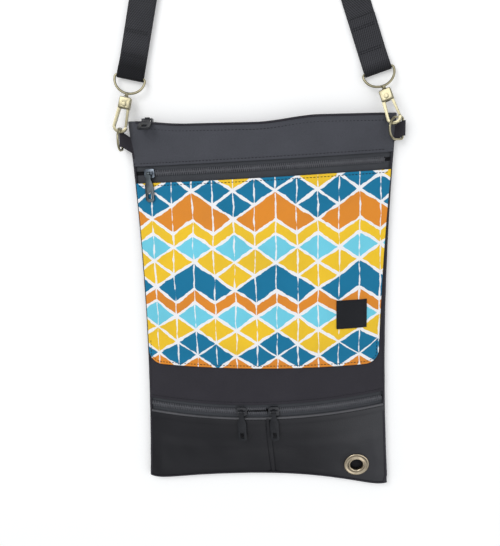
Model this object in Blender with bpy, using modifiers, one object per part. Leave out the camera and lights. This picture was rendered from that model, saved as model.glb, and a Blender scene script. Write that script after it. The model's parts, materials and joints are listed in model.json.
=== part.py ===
"""Flat zippered crossbody bag, lying on its back with the webbing strap laid out in a loop.

+X runs to the right of the front, +Y up the bag towards the strap, +Z out of the front.
The origin is the middle of the back panel's outer face.
"""

import math

import bmesh
import bpy
from mathutils import Matrix, Vector
from mathutils.geometry import interpolate_bezier

MM = 0.001
COLLECTION_NAME = "crossbody_bag"

# Bag outline
HALF_LENGTH = 181.5 * MM
WAIST_HALF = 117.5 * MM
WAIST_Y = -20 * MM
TOP_FLARE = 7.5 * MM
FOOT_DRAW = 8 * MM
FOOT_CORNER = 5 * MM
FOOT_SLANT = 6.5 * MM

# Height of the front over the back
SEAM_HEIGHT = 6.5 * MM
DOME_RISE = 19 * MM
MOUTH_RISE = 8.8 * MM
MOUTH_RUN = 34 * MM
FOOT_RUN = 60 * MM
BACK_LIFT = 1.1 * MM
BACK_LIFT_RUN = 12 * MM
POCKET_ROOM = 3 * MM

# Cloth layers
FABRIC = 1.2 * MM
LINING = 0.6 * MM
TAPE = 0.6 * MM
SEAT = 0.3 * MM
TAPE_SEAT = 0.5 * MM
LINING_MARGIN = 9 * MM
COLUMNS = 14
TAPE_COLUMNS = 28
LAYER_LEVELS = (0, 0.024, 0.048, 0.072, 0.096, 0.12, 0.144, 0.17, 0.35, 0.6, 0.8, 0.9, 0.93,
                0.965, 1)

# Zips
FRONT_ZIP_DROP = 41.2 * MM
FRONT_ZIP_Y = HALF_LENGTH - FRONT_ZIP_DROP
FRONT_ZIP_SKEW = 4.5 * MM
LOWER_ZIP_RISE = 88 * MM
LOWER_ZIP_Y = -HALF_LENGTH + LOWER_ZIP_RISE
LOWER_ZIP_SKEW = 3.4 * MM
LOWER_ZIP_SAG = 4.4 * MM
ZIP_OPENING = 6.7 * MM
TAPE_HALF = 11 * MM
TAPE_SLIT = 1.7 * MM
ZIP_END_MARGIN = 3 * MM
TOP_ZIP_MARGIN = 10 * MM
COIL_WIDTH = 6 * MM
COIL_HEIGHT = 0.9 * MM
COIL_RIDGE = 0.4 * MM
TOOTH_PITCH = 4 * MM

# Printed pocket
PRINT_TOP_GAP = 9.3 * MM
PRINT_FOOT_GAP = 40.1 * MM
PRINT_DEPTH = FRONT_ZIP_Y - PRINT_TOP_GAP - LOWER_ZIP_Y - PRINT_FOOT_GAP
PRINT_SIDE_MARGIN = 0.8 * MM
PRINT_SLANT = 5 * MM
PRINT_CORNER = 14 * MM
PRINT_PUFF = 2.4 * MM
PRINT_FLAT_TOP = 34 * MM
PRINT_EDGE_RUN = 26 * MM
PRINT_BAND = 24 * MM
PRINT_WAVE = 82 * MM
PRINT_WAVE_RISE = 23 * MM

# Woven label
LABEL_SIDE_GAP = 33 * MM
LABEL_X = WAIST_HALF - LABEL_SIDE_GAP
LABEL_DROP = 141.3 * MM
LABEL_Y = FRONT_ZIP_Y - LABEL_DROP
LABEL_WIDTH = 29.5 * MM
LABEL_HEIGHT = 28 * MM
LABEL_THICKNESS = 0.5 * MM

# Sliders and pulls
SLIDER_LENGTH = 10.5 * MM
SLIDER_WALL = 1 * MM
SLIDER_PLATE = 1 * MM
POST_LENGTH = 2.4 * MM
POST_WIDTH = 2.7 * MM
BRIDGE_RADIUS = 0.7 * MM
BRIDGE_SPAN = 6.4 * MM
KNUCKLE_WALL = 0.75 * MM
KNUCKLE_LENGTH = 3.4 * MM
PULL_NECK = 4.6 * MM
PULL_WIDTH = 8.6 * MM
PULL_THICKNESS = 1.5 * MM
PULL_TIP = 2 * MM
FRONT_PULL_LENGTH = 27 * MM
LOWER_PULL_LENGTH = 31 * MM
TOP_PULL_LENGTH = 24 * MM
FRONT_PULL_DROOP = math.radians(0)
LOWER_PULL_DROOP = math.radians(3.5)
TOP_PULL_DROOP = math.radians(16)
TOP_SLIDER_START = 10.5 * MM
TOP_SLIDER_X = -WAIST_HALF + TOP_SLIDER_START
FRONT_SLIDER_START = 11.5 * MM
FRONT_SLIDER_X = -WAIST_HALF + FRONT_SLIDER_START
LOWER_LEFT_SLIDER_X = -23.5 * MM
LOWER_RIGHT_SLIDER_X = 8 * MM

# Eyelet in the lower pocket
EYELET_SIDE_GAP = 26.5 * MM
EYELET_X = WAIST_HALF - EYELET_SIDE_GAP
EYELET_RISE = 19.5 * MM
EYELET_Y = -HALF_LENGTH + EYELET_RISE
EYELET_HOLE = 7.2 * MM
EYELET_FLANGE = 12.8 * MM
EYELET_WALL = 0.6 * MM
EYELET_DOME = 1.9 * MM

# Side tabs and their rings
TAB_WIDTH = 14 * MM
TAB_SLANT = 0.7
RING_WIRE = 1.1 * MM
RING_HALF = 10 * MM
RING_SIDE = 11 * MM
RING_BAR_HEIGHT = 6.2 * MM
LEFT_RING_REACH = 15 * MM
LEFT_RING_DROP = 13.1 * MM
LEFT_RING = (-WAIST_HALF - LEFT_RING_REACH, HALF_LENGTH - LEFT_RING_DROP)
LEFT_RING_LEAN = math.radians(3)
LEFT_LINK_LEVEL = 8 * MM
LEFT_LINK_ROOM = 0.6 * MM
RIGHT_RING_REACH = 14 * MM
RIGHT_RING_DROP = 8.5 * MM
RIGHT_RING = (WAIST_HALF + RIGHT_RING_REACH, HALF_LENGTH - RIGHT_RING_DROP)
RIGHT_RING_LEAN = math.radians(-42)
RIGHT_LINK_LEVEL = 14 * MM
RIGHT_LINK_ROOM = 2.8 * MM

# Snap hooks
EYE_WIRE = 1.15 * MM
EYE_HALF = 14.4 * MM
EYE_DEPTH = 15.6 * MM
NECK_RADIUS = 2.5 * MM
NECK_LENGTH = 2.4 * MM
STUD_RADIUS = 1.2 * MM
STUD_HEAD = 2.1 * MM
STUD_HEAD_LENGTH = 1.2 * MM
STUD_LENGTH = 3.2 * MM
BLOCK_HALF = 5.5 * MM
BLOCK_LENGTH = 10.8 * MM
BLOCK_THICKNESS = 6.6 * MM
FRAME_THICKNESS = 3.2 * MM
LEG_WIDTH = 2.5 * MM
BOW_HALF = 6.9 * MM
BOW_WIDTH = 2.6 * MM
HOOK_LENGTH = 53.5 * MM
GATE_THICKNESS = 2 * MM
GATE_WIDTH = 2.2 * MM
GATE_TIP_LIFT = 6.2 * MM
GATE_TIP_SLANT = 0.6 * MM
RIVET_RADIUS = 1 * MM
RIVET_HEAD = 2.1 * MM
RIVET_HEAD_HEIGHT = 0.9 * MM
RIVET_DROP = 7 * MM
LEFT_LEAN = math.radians(12.7)
RIGHT_LEAN = math.radians(-18)
LEFT_ROLL = math.radians(0)
RIGHT_ROLL = math.radians(-14)

# Webbing strap
STRAP_WIDTH = 25 * MM
STRAP_THICKNESS = 1.3 * MM
LEFT_STRAP_LIFT = 2.6 * MM
RIGHT_STRAP_LIFT = 0.4 * MM
LOOP_RUN = 17 * MM
LEFT_TAIL = 150 * MM
RIGHT_TAIL = 50 * MM
LEFT_STRAIGHT = 158 * MM
RIGHT_STRAIGHT = 92 * MM
TWIST_RUN = 80 * MM
ARCH_X = -6 * MM
ARCH_ABOVE = 338.5 * MM
ARCH_Y = HALF_LENGTH + ARCH_ABOVE
ARCH_HALF = 62 * MM
ARCH_HANDLE = 70 * MM
ARCH_STEPS = 14

# Strap slide
SLIDE_AT = 104 * MM
SLIDE_LENGTH = 19 * MM
SLIDE_RAIL = 3 * MM
SLIDE_BAR = 3 * MM
SLIDE_PLATE = 1.8 * MM

# Sizes that follow from the ones above
TAPE_DROP = FABRIC + TAPE_SEAT
TAPE_MIDDLE = TAPE_DROP + TAPE / 2
SEAM_DROP = TAPE_DROP + TAPE + SEAT
COIL_LEVEL = TAPE / 2 + SEAT
CHANNEL_TOP = COIL_LEVEL + COIL_HEIGHT + COIL_RIDGE + SEAT
CHANNEL_BOTTOM = -(TAPE / 2 + SEAT)
SLIDER_HALF = COIL_WIDTH / 2 + SEAT + SLIDER_WALL
KNUCKLE_BORE = BRIDGE_RADIUS + SEAT
BRIDGE_LEVEL = CHANNEL_TOP + SLIDER_PLATE + SEAT + KNUCKLE_BORE + KNUCKLE_WALL
TOP_ZIP_LEVEL = FABRIC + SEAT + TAPE + SEAT + SLIDER_HALF
TOP_ZIP_Y = HALF_LENGTH - 1.5 * MM
LOOP_RADIUS = EYE_WIRE + SEAT + STRAP_THICKNESS / 2
BLOCK_TOP = -(EYE_DEPTH + EYE_WIRE + NECK_LENGTH + SEAT)
RIVET_Y = BLOCK_TOP - RIVET_DROP
LINK_REACH = HOOK_LENGTH - BOW_WIDTH - RING_WIRE

BLACK_FABRIC = (0.040, 0.042, 0.047, 1)
BAND_FABRIC = (0.075, 0.082, 0.090, 1)
BLACK_LEATHER = (0.028, 0.029, 0.032, 1)
TAPE_BLACK = (0.035, 0.045, 0.052, 1)
WEBBING_BLACK = (0.030, 0.031, 0.036, 1)
SLIDER_BLACK = (0.030, 0.032, 0.036, 1)
PULL_GREY = (0.150, 0.180, 0.200, 1)
PALE_GOLD = (0.560, 0.520, 0.390, 1)
OLD_BRASS = (0.290, 0.230, 0.180, 1)
PRINT_COLOURS = {
    "print_teal": (0.020, 0.120, 0.200, 1),
    "print_orange": (0.640, 0.230, 0.035, 1),
    "print_yellow": (0.880, 0.520, 0.040, 1),
    "print_cyan": (0.210, 0.640, 0.740, 1),
}


def clear_scene():
    for thing in list(bpy.data.objects):
        bpy.data.objects.remove(thing)


def make_collection(name, hidden=False):
    collection = bpy.data.collections.new(name)
    bpy.context.scene.collection.children.link(collection)
    collection.hide_render = hidden
    return collection


def make_material(name, colour, roughness, metallic=0.0):
    material = bpy.data.materials.new(name)
    material.use_nodes = True
    shader = material.node_tree.nodes["Principled BSDF"]
    shader.inputs["Base Color"].default_value = colour
    shader.inputs["Roughness"].default_value = roughness
    shader.inputs["Metallic"].default_value = metallic
    material.diffuse_color = colour
    return material


def ease(share):
    """Smooth step from 0 to 1."""
    share = min(max(share, 0.0), 1.0)
    return share * share * (3.0 - 2.0 * share)


def half_width(y):
    return WAIST_HALF + TOP_FLARE * ((y - WAIST_Y) / (HALF_LENGTH - WAIST_Y)) ** 2


def side_share(x, y):
    """How far out a point is, from 0 on the middle line to 1 at the side seam."""
    return min(abs(x) / half_width(y), 1.0)


def foot_edge(x):
    """The bag's lower edge, drawn up in the middle, longer at the right, with round corners."""
    share = side_share(x, -HALF_LENGTH)
    slant = FOOT_SLANT * share ** 2 if x > 0 else 0.0
    return -HALF_LENGTH + FOOT_DRAW * (1.0 - share ** 2) + FOOT_CORNER * share ** 16 - slant


def front_height(x, y):
    """Height of the front panels' outer face."""
    share = side_share(x, y)
    mouth = ease((y - (HALF_LENGTH - MOUTH_RUN)) / MOUTH_RUN)
    foot = ease((y - foot_edge(x)) / FOOT_RUN)
    dome = DOME_RISE * (1.0 - share ** 2)
    lip = MOUTH_RISE * (1.0 - share ** 16)
    return SEAM_HEIGHT + foot * ((1.0 - mouth) * dome + mouth * lip)


def lining_height(x, y):
    """Height of the front lining's outer face, under the zips' sliders."""
    height = front_height(x, y)
    room = min(POCKET_ROOM, 0.9 * (height - SEAM_HEIGHT))
    return height - SEAM_DROP - room


def back_height(x, y):
    """Height of the back panel's upper face, flat and turned up along the seams."""
    side = side_share(x, y) ** 24
    foot = 1.0 - ease((y - foot_edge(x)) / BACK_LIFT_RUN)
    return FABRIC + BACK_LIFT * max(side, foot)


def front_zip_y(x):
    return FRONT_ZIP_Y + FRONT_ZIP_SKEW * x / WAIST_HALF


def lower_zip_y(x):
    share = x / WAIST_HALF
    return LOWER_ZIP_Y + LOWER_ZIP_SKEW * share - LOWER_ZIP_SAG * (1.0 - share ** 2)


def print_top(x):
    return front_zip_y(x) - PRINT_TOP_GAP


def link(thing, material, collection):
    thing.data.materials.append(material)
    collection.objects.link(thing)
    return thing


def sheet(name, point, columns, rows, thickness, material, collection, offset=-1.0):
    """A grid laid on a surface and given thickness; point maps two shares to a place."""
    grid = bmesh.new()
    bmesh.ops.create_grid(grid, x_segments=columns, y_segments=rows, size=0.5)
    for vertex in grid.verts:
        vertex.co = Vector(point(vertex.co.x + 0.5, vertex.co.y + 0.5))
    mesh = bpy.data.meshes.new(name)
    grid.to_mesh(mesh)
    grid.free()
    mesh.shade_smooth()
    thing = link(bpy.data.objects.new(name, mesh), material, collection)
    solid = thing.modifiers.new("thickness", "SOLIDIFY")
    solid.thickness = thickness
    solid.offset = offset
    solid.use_even_offset = True
    return thing


def even(count):
    """Shares from 0 to 1 in equal steps."""
    return [index / count for index in range(count + 1)]


def bag_layer(name, low, high, height, thickness, levels, material, collection, margin=0.0,
              columns=COLUMNS):
    """A cloth layer from seam to seam, between two edges that are functions of x."""
    rows = len(levels) - 1

    def point(across, step):
        share = math.sin(math.pi * (across - 0.5))
        along = levels[int(round(step * rows))]
        middle = low(0.0) + (high(0.0) - low(0.0)) * along
        x = share * half_width(middle)
        y = low(x) + (high(x) - low(x)) * along
        x = share * (half_width(y) - margin)
        return (x, y, height(x, y))
    return sheet(name, point, columns, rows, thickness, material, collection)


def print_sides(y):
    """Left and right edge of the printed pocket, which slants in a little at the right."""
    depth = (print_top(0.0) - y) / PRINT_DEPTH
    left = -half_width(y) + PRINT_SIDE_MARGIN
    right = half_width(y) - PRINT_SIDE_MARGIN - PRINT_SLANT * max(depth, 0.0)
    return left, right


def print_foot(x, left, right):
    """Lower edge of the printed pocket, with rounded corners."""
    inside = min(x - left, right - x)
    level = print_top(0.0) - PRINT_DEPTH
    if inside >= PRINT_CORNER:
        return level
    short = PRINT_CORNER - max(inside, 0.0)
    return level + PRINT_CORNER - math.sqrt(PRINT_CORNER ** 2 - short ** 2)


def print_height(x, y):
    """Outer face of the printed pocket, puffed away from the panel under it."""
    left, right = print_sides(y)
    top_room = ease((print_top(x) - y - PRINT_FLAT_TOP) / PRINT_FLAT_TOP)
    foot_room = ease((y - print_top(0.0) + PRINT_DEPTH) / PRINT_EDGE_RUN)
    side_room = ease(min(x - left, right - x) / PRINT_EDGE_RUN)
    puff = PRINT_PUFF * top_room * foot_room * side_room
    return front_height(x, y) + SEAT + FABRIC + puff


def colour_field(x, y):
    """Which colour the print has at a place: stacked bands that rise and fall in chevrons."""
    phase = (x / PRINT_WAVE) % 1.0
    wave = abs(2.0 * phase - 1.0) * PRINT_WAVE_RISE
    band = int(math.floor((y - wave) / PRINT_BAND))
    return band % len(PRINT_COLOURS)


def make_printed_pocket(materials, collection):
    def point(across, along):
        share = 0.5 + 0.5 * math.sin(math.pi * (across - 0.5))
        middle = print_top(0.0) - PRINT_DEPTH * (1.0 - along)
        left, right = print_sides(middle)
        x = left + (right - left) * share
        foot = print_foot(x, left, right)
        y = foot + (print_top(x) - foot) * along
        left, right = print_sides(y)
        x = left + (right - left) * share
        return (x, y, print_height(x, y))
    pocket = sheet("printed_pocket", point, 18, 11, FABRIC, materials[0], collection)
    for material in materials[1:]:
        pocket.data.materials.append(material)
    for face in pocket.data.polygons:
        face.material_index = colour_field(face.center.x, face.center.y)
    return pocket


def make_label(material, collection):
    def point(across, along):
        x = LABEL_X + LABEL_WIDTH * (across - 0.5)
        y = LABEL_Y + LABEL_HEIGHT * (along - 0.5)
        return (x, y, print_height(x, y) + SEAT + LABEL_THICKNESS)
    return sheet("label", point, 4, 4, LABEL_THICKNESS, material, collection)


def make_panels(materials, collection):
    """The bag's cloth layers, from the back outwards."""
    def top(x):
        return HALF_LENGTH

    def lining_top(x):
        return HALF_LENGTH - LINING_MARGIN

    def lining_foot(x):
        return foot_edge(x) + SEAT

    def back_lining_height(x, y):
        return back_height(x, y) + SEAT + LINING

    def band_foot(x):
        return front_zip_y(x) + ZIP_OPENING

    def centre_foot(x):
        return lower_zip_y(x) + ZIP_OPENING

    def pocket_top(x):
        return lower_zip_y(x) - ZIP_OPENING

    fabric = materials["fabric"]
    lining = materials["lining"]
    bag_layer("back_panel", foot_edge, top, back_height, FABRIC, LAYER_LEVELS, fabric,
              collection)
    bag_layer("back_lining", lining_foot, lining_top, back_lining_height, LINING, LAYER_LEVELS,
              lining, collection)
    bag_layer("front_lining", lining_foot, lining_top, lining_height, LINING, LAYER_LEVELS,
              lining, collection)
    bag_layer("front_top_band", band_foot, top, front_height, FABRIC, even(7),
              materials["band"], collection)
    bag_layer("centre_panel", centre_foot, print_top, front_height, FABRIC, even(4),
              fabric, collection)
    return bag_layer("lower_pocket", foot_edge, pocket_top, front_height, FABRIC, even(9),
                     materials["leather"], collection)


def surface_frame(x, y):
    """Matrix at a place on the front, with +Z square to the outer face."""
    step = 4 * MM
    across = Vector((2 * step, 0, front_height(x + step, y) - front_height(x - step, y)))
    along = Vector((0, 2 * step, front_height(x, y + step) - front_height(x, y - step)))
    normal = across.cross(along).normalized()
    across = along.cross(normal).normalized()
    matrix = Matrix((across, normal.cross(across), normal)).transposed().to_4x4()
    matrix.translation = (x, y, front_height(x, y))
    return matrix


def turned(name, profile, material, collection, steps=24):
    """A profile of radius and height pairs turned about Z; it runs down the outer side."""
    mesh = bpy.data.meshes.new(name)
    points = [(radius, 0, height) for radius, height in profile]
    count = len(points)
    mesh.from_pydata(points, [(i, (i + 1) % count) for i in range(count)], [])
    thing = link(bpy.data.objects.new(name, mesh), material, collection)
    screw = thing.modifiers.new("turn", "SCREW")
    screw.steps = steps
    screw.render_steps = steps
    screw.use_merge_vertices = True
    screw.merge_threshold = 0.00001
    screw.use_smooth_shade = True
    return thing


def make_eyelet(lower_pocket, material, collection, cutters):
    """A two-part metal eyelet clenched through a round hole in the lower pocket."""
    matrix = surface_frame(EYELET_X, EYELET_Y)
    barrel = EYELET_HOLE - SEAT
    inner = barrel - EYELET_WALL
    lift = SEAT + 0.35 * MM
    bottom = -(FABRIC + 3 * SEAT + EYELET_WALL)
    front = turned("eyelet_front", [
        (inner, EYELET_DOME * 0.55 + lift),
        (inner + 0.9 * MM, EYELET_DOME + lift),
        ((inner + EYELET_FLANGE) / 2, EYELET_DOME + lift),
        (EYELET_FLANGE - 1.2 * MM, EYELET_DOME * 0.6 + lift),
        (EYELET_FLANGE, EYELET_WALL * 0.5 + lift),
        (EYELET_FLANGE, lift),
        (barrel, lift),
        (barrel, bottom),
        (inner, bottom),
    ], material, collection)
    front.matrix_world = matrix
    under = -(FABRIC + SEAT + 0.35 * MM)
    washer = turned("eyelet_washer", [
        (barrel + SEAT, under),
        (EYELET_FLANGE - 3 * MM, under),
        (EYELET_FLANGE - 3 * MM, under - EYELET_WALL),
        (barrel + SEAT, under - EYELET_WALL),
    ], material, collection)
    washer.matrix_world = matrix
    hole = bmesh.new()
    bmesh.ops.create_cone(hole, cap_ends=True, segments=28, radius1=EYELET_HOLE,
                          radius2=EYELET_HOLE, depth=12 * MM)
    cut(lower_pocket, hole, matrix, cutters)


def cut(target, shape, matrix, cutters, operation="DIFFERENCE"):
    """Add a Boolean with the shape as its hidden operand."""
    mesh = bpy.data.meshes.new(target.name + "_cutter")
    shape.to_mesh(mesh)
    shape.free()
    operand = bpy.data.objects.new(target.name + "_cutter", mesh)
    operand.matrix_world = matrix
    operand.display_type = "WIRE"
    operand.hide_render = True
    cutters.objects.link(operand)
    boolean = target.modifiers.new("boolean", "BOOLEAN")
    boolean.operation = operation
    boolean.object = operand
    return operand


def box(low, high):
    """A box between two corners, as a bmesh."""
    shape = bmesh.new()
    bmesh.ops.create_cube(shape, size=1.0)
    size = [b - a for a, b in zip(low, high)]
    middle = [(a + b) / 2 for a, b in zip(low, high)]
    bmesh.ops.scale(shape, vec=size, verts=shape.verts)
    bmesh.ops.translate(shape, vec=middle, verts=shape.verts)
    return shape


def cylinder(radius, length, axis, centre, segments=16):
    """A cylinder about X, Y or Z, as a bmesh."""
    turn = {"X": Matrix.Rotation(math.pi / 2, 4, "Y"),
            "Y": Matrix.Rotation(math.pi / 2, 4, "X"),
            "Z": Matrix.Identity(4)}[axis]
    shape = bmesh.new()
    bmesh.ops.create_cone(shape, cap_ends=True, segments=segments, radius1=radius,
                          radius2=radius, depth=length, matrix=Matrix.Translation(centre) @ turn)
    return shape


def solid_from(shapes, name):
    """One mesh from a list of (operation, bmesh) pairs, joined in order."""
    things = []
    for index, (operation, shape) in enumerate(shapes):
        mesh = bpy.data.meshes.new(name + "_piece")
        shape.to_mesh(mesh)
        shape.free()
        thing = bpy.data.objects.new(name + "_piece", mesh)
        bpy.context.scene.collection.objects.link(thing)
        things.append(thing)
        if index:
            boolean = things[0].modifiers.new("boolean", "BOOLEAN")
            boolean.operation = operation
            boolean.object = thing
    bpy.context.view_layer.update()
    evaluated = things[0].evaluated_get(bpy.context.evaluated_depsgraph_get())
    result = bpy.data.meshes.new_from_object(evaluated)
    result.name = name
    for thing in things:
        bpy.data.objects.remove(thing)
    return result


def plate(outlines, thickness, level=0.0):
    """A flat outline, with any holes, as a closed bmesh; level is its middle height."""
    curve = bpy.data.curves.new("outline", "CURVE")
    curve.dimensions = "2D"
    curve.fill_mode = "BOTH"
    curve.extrude = thickness / 2
    for outline in outlines:
        spline = curve.splines.new("POLY")
        spline.points.add(len(outline) - 1)
        spline.use_cyclic_u = True
        for index, (x, y) in enumerate(outline):
            spline.points[index].co = (x, y, 0, 1)
    thing = bpy.data.objects.new("outline", curve)
    bpy.context.scene.collection.objects.link(thing)
    bpy.context.view_layer.update()
    evaluated = thing.evaluated_get(bpy.context.evaluated_depsgraph_get())
    mesh = bpy.data.meshes.new_from_object(evaluated)
    bpy.data.objects.remove(thing)
    shape = bmesh.new()
    shape.from_mesh(mesh)
    bmesh.ops.remove_doubles(shape, verts=shape.verts, dist=0.000005)
    bmesh.ops.recalc_face_normals(shape, faces=shape.faces)
    bmesh.ops.translate(shape, vec=(0, 0, level), verts=shape.verts)
    return shape


def arc(centre, radius, start, end, count):
    """Points on an arc, angles in degrees."""
    points = []
    for index in range(count + 1):
        angle = math.radians(start + (end - start) * index / count)
        points.append((centre[0] + radius * math.cos(angle), centre[1] + radius * math.sin(angle)))
    return points


def turned_shape(shape, axis, angle):
    bmesh.ops.rotate(shape, cent=(0, 0, 0), matrix=Matrix.Rotation(angle, 3, axis),
                     verts=shape.verts)
    return shape


def slider_mesh():
    """Zip slider: two plates round the chain, a dividing post and a bridge for the pull."""
    half = SLIDER_LENGTH / 2
    nose = [(half - 2 * MM, SLIDER_HALF), (half, SLIDER_HALF - 1.6 * MM)]
    outline = [(-half, SLIDER_HALF - 1 * MM), (-half + 1 * MM, SLIDER_HALF)] + nose
    outline += [(x, -y) for x, y in reversed(outline)]
    top = CHANNEL_TOP + SLIDER_PLATE
    bottom = CHANNEL_BOTTOM - SLIDER_PLATE
    bridge_half = BRIDGE_SPAN / 2
    shapes = [("UNION", plate([outline], SLIDER_PLATE, CHANNEL_TOP + SLIDER_PLATE / 2)),
              ("UNION", plate([outline], SLIDER_PLATE, CHANNEL_BOTTOM - SLIDER_PLATE / 2)),
              ("UNION", box((half - 0.6 * MM - POST_LENGTH, -POST_WIDTH / 2, bottom + 0.2 * MM),
                            (half - 0.6 * MM, POST_WIDTH / 2, top - 0.2 * MM)))]
    for side in (-1, 1):
        inner = side * (SLIDER_HALF - SLIDER_WALL)
        outer = side * (SLIDER_HALF - 0.05 * MM)
        shapes.append(("UNION", box((-half + 1.2 * MM, min(inner, outer), -CHANNEL_BOTTOM),
                                    (half - 2.2 * MM, max(inner, outer), top - 0.3 * MM))))
        foot = side * bridge_half
        shapes.append(("UNION", box((foot - 0.75 * MM, -0.9 * MM, top - 0.4 * MM),
                                    (foot + 0.75 * MM, 0.9 * MM, BRIDGE_LEVEL + 0.5 * MM))))
    shapes.append(("UNION", cylinder(BRIDGE_RADIUS, BRIDGE_SPAN, "X", (0, 0, BRIDGE_LEVEL), 10)))
    return solid_from(shapes, "slider")


def pull_mesh(length):
    """Flat zip pull with a knuckle at its origin about X and a slot near its tip, along -Y."""
    neck = PULL_NECK / 2
    half = PULL_WIDTH / 2
    root = -(KNUCKLE_BORE + KNUCKLE_WALL * 0.45)
    outline = [(-neck, root), (-neck, -6 * MM), (-half, -11 * MM), (-half, -length + PULL_TIP),
               (-half + PULL_TIP, -length), (half - PULL_TIP, -length),
               (half, -length + PULL_TIP), (half, -11 * MM), (neck, -6 * MM), (neck, root)]
    slot_low = -length + 3 * MM
    slot = [(-1.9 * MM, slot_low), (1.9 * MM, slot_low), (1.9 * MM, slot_low + 6 * MM),
            (-1.9 * MM, slot_low + 6 * MM)]
    ring = plate([arc((0, 0), KNUCKLE_BORE + KNUCKLE_WALL, 0, 337.5, 15),
                  arc((0, 0), KNUCKLE_BORE, 0, 337.5, 15)], KNUCKLE_LENGTH)
    shapes = [("UNION", plate([outline, slot], PULL_THICKNESS)),
              ("UNION", turned_shape(ring, "Y", math.pi / 2))]
    return solid_from(shapes, "pull")


def zip_path(line, x):
    """Middle of a zip's tapes at x, for a zip on the domed front."""
    y = line(x)
    return Vector((x, y, front_height(x, y) - TAPE_MIDDLE))


def zip_circle(line):
    """Centre and unit axis of the circle that a front zip's slider travels on."""
    reach = -FRONT_SLIDER_X
    left, middle, right = (zip_path(line, x) for x in (-reach, 0.0, reach))
    chord = left - right
    half_chord = middle - right
    square = chord.cross(half_chord)
    inward = (half_chord * chord.length_squared - chord * half_chord.length_squared).cross(square)
    centre = right + inward / (2 * square.length_squared)
    return centre, square.normalized()


def front_slider_frame(line, x):
    """Matrix of a slider on a front zip: +X along the chain, +Z out of the bag."""
    step = SLIDER_LENGTH / 2
    along = (zip_path(line, x + step) - zip_path(line, x - step)).normalized()
    outward = surface_frame(x, line(x)).to_3x3().col[2]
    across = outward.cross(along).normalized()
    matrix = Matrix((along, across, along.cross(across))).transposed().to_4x4()
    matrix.translation = zip_path(line, x)
    return matrix


def path_frame(line):
    """Matrix at the centre of a front zip's circle, with +Y along its axis."""
    centre, axis = zip_circle(line)
    along = axis.cross(Vector((0, 0, 1))).normalized()
    matrix = Matrix((along, axis, along.cross(axis))).transposed().to_4x4()
    matrix.translation = centre
    return matrix


def top_slider_frame(x):
    """Matrix of the top zip's slider, whose chain faces +Y."""
    matrix = Matrix(((1, 0, 0, x), (0, 0, 1, TOP_ZIP_Y), (0, -1, 0, TOP_ZIP_LEVEL), (0, 0, 0, 1)))
    return matrix


def add_empty(name, matrix, collection):
    empty = bpy.data.objects.new(name, None)
    empty.matrix_world = matrix
    collection.objects.link(empty)
    return empty


def add_child(name, mesh, material, collection, parent, parent_matrix, matrix):
    """An object under a parent, placed by a world matrix."""
    thing = bpy.data.objects.new(name, mesh)
    if not mesh.materials:
        mesh.materials.append(material)
    collection.objects.link(thing)
    thing.parent = parent
    thing.matrix_parent_inverse = Matrix.Identity(4)
    thing.matrix_basis = parent_matrix.inverted() @ matrix
    return thing


def pull_frame(slider_matrix, droop):
    """A pull's matrix: its knuckle on the bridge, its tip lowered by the droop."""
    return (slider_matrix @ Matrix.Translation((0, 0, BRIDGE_LEVEL))
            @ Matrix.Rotation(droop, 4, "X"))


def make_slider(name, pull_name, matrix, turned_round, pull, droop, base, base_matrix,
                slider, materials, collection):
    """A slider under its path's centre, and its pull on the bridge."""
    body_matrix = matrix
    if turned_round:
        body_matrix = matrix @ Matrix.Rotation(math.pi, 4, "Z")
    body = add_child(name, slider, materials["slider"], collection, base, base_matrix, body_matrix)
    add_child(pull_name, pull, materials["pull"], collection, body, body_matrix,
              pull_frame(matrix, droop))


def coil(name, start, end, place, material, collection):
    """A closed chain from start to end, with one ridge for each pair of teeth."""
    teeth = max(int(round((end - start) / TOOTH_PITCH)), 2)
    rows = 2 * teeth

    def point(across, along):
        row = int(round(along * rows))
        ridge = COIL_RIDGE * (row % 2)
        return place(start + (end - start) * along, COIL_WIDTH * (across - 0.5),
                     COIL_LEVEL + COIL_HEIGHT + ridge)
    thing = sheet(name, point, 1, rows, COIL_HEIGHT, material, collection)
    for face in thing.data.polygons:
        face.use_smooth = False
    return thing


def front_place(line):
    """Place on a front zip from x, the distance across the chain and the height."""
    def place(x, across, up):
        y = line(x) - across
        return (x, y, front_height(x, y) - TAPE_MIDDLE + up)
    return place


def top_place(x, across, up):
    """Place on the top zip, where +Y is out of the chain and +Z across it."""
    return (x, TOP_ZIP_Y + up, TOP_ZIP_LEVEL + across)


def make_front_zip(prefix, line, spans, materials, collection):
    """Two tapes and the closed stretches of chain of a zip on the front."""
    def height(x, y):
        return front_height(x, y) - TAPE_DROP

    def upper_low(x):
        return line(x) + TAPE_SLIT

    def upper_high(x):
        return line(x) + TAPE_HALF

    def lower_low(x):
        return line(x) - TAPE_HALF

    def lower_high(x):
        return line(x) - TAPE_SLIT

    bag_layer(prefix + "_tape_upper", upper_low, upper_high, height, TAPE, even(3),
              materials["tape"], collection, ZIP_END_MARGIN, TAPE_COLUMNS)
    bag_layer(prefix + "_tape_lower", lower_low, lower_high, height, TAPE, even(3),
              materials["tape"], collection, ZIP_END_MARGIN, TAPE_COLUMNS)
    for name, start, end in spans:
        coil(name, start, end, front_place(line), materials["coil"], collection)


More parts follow.
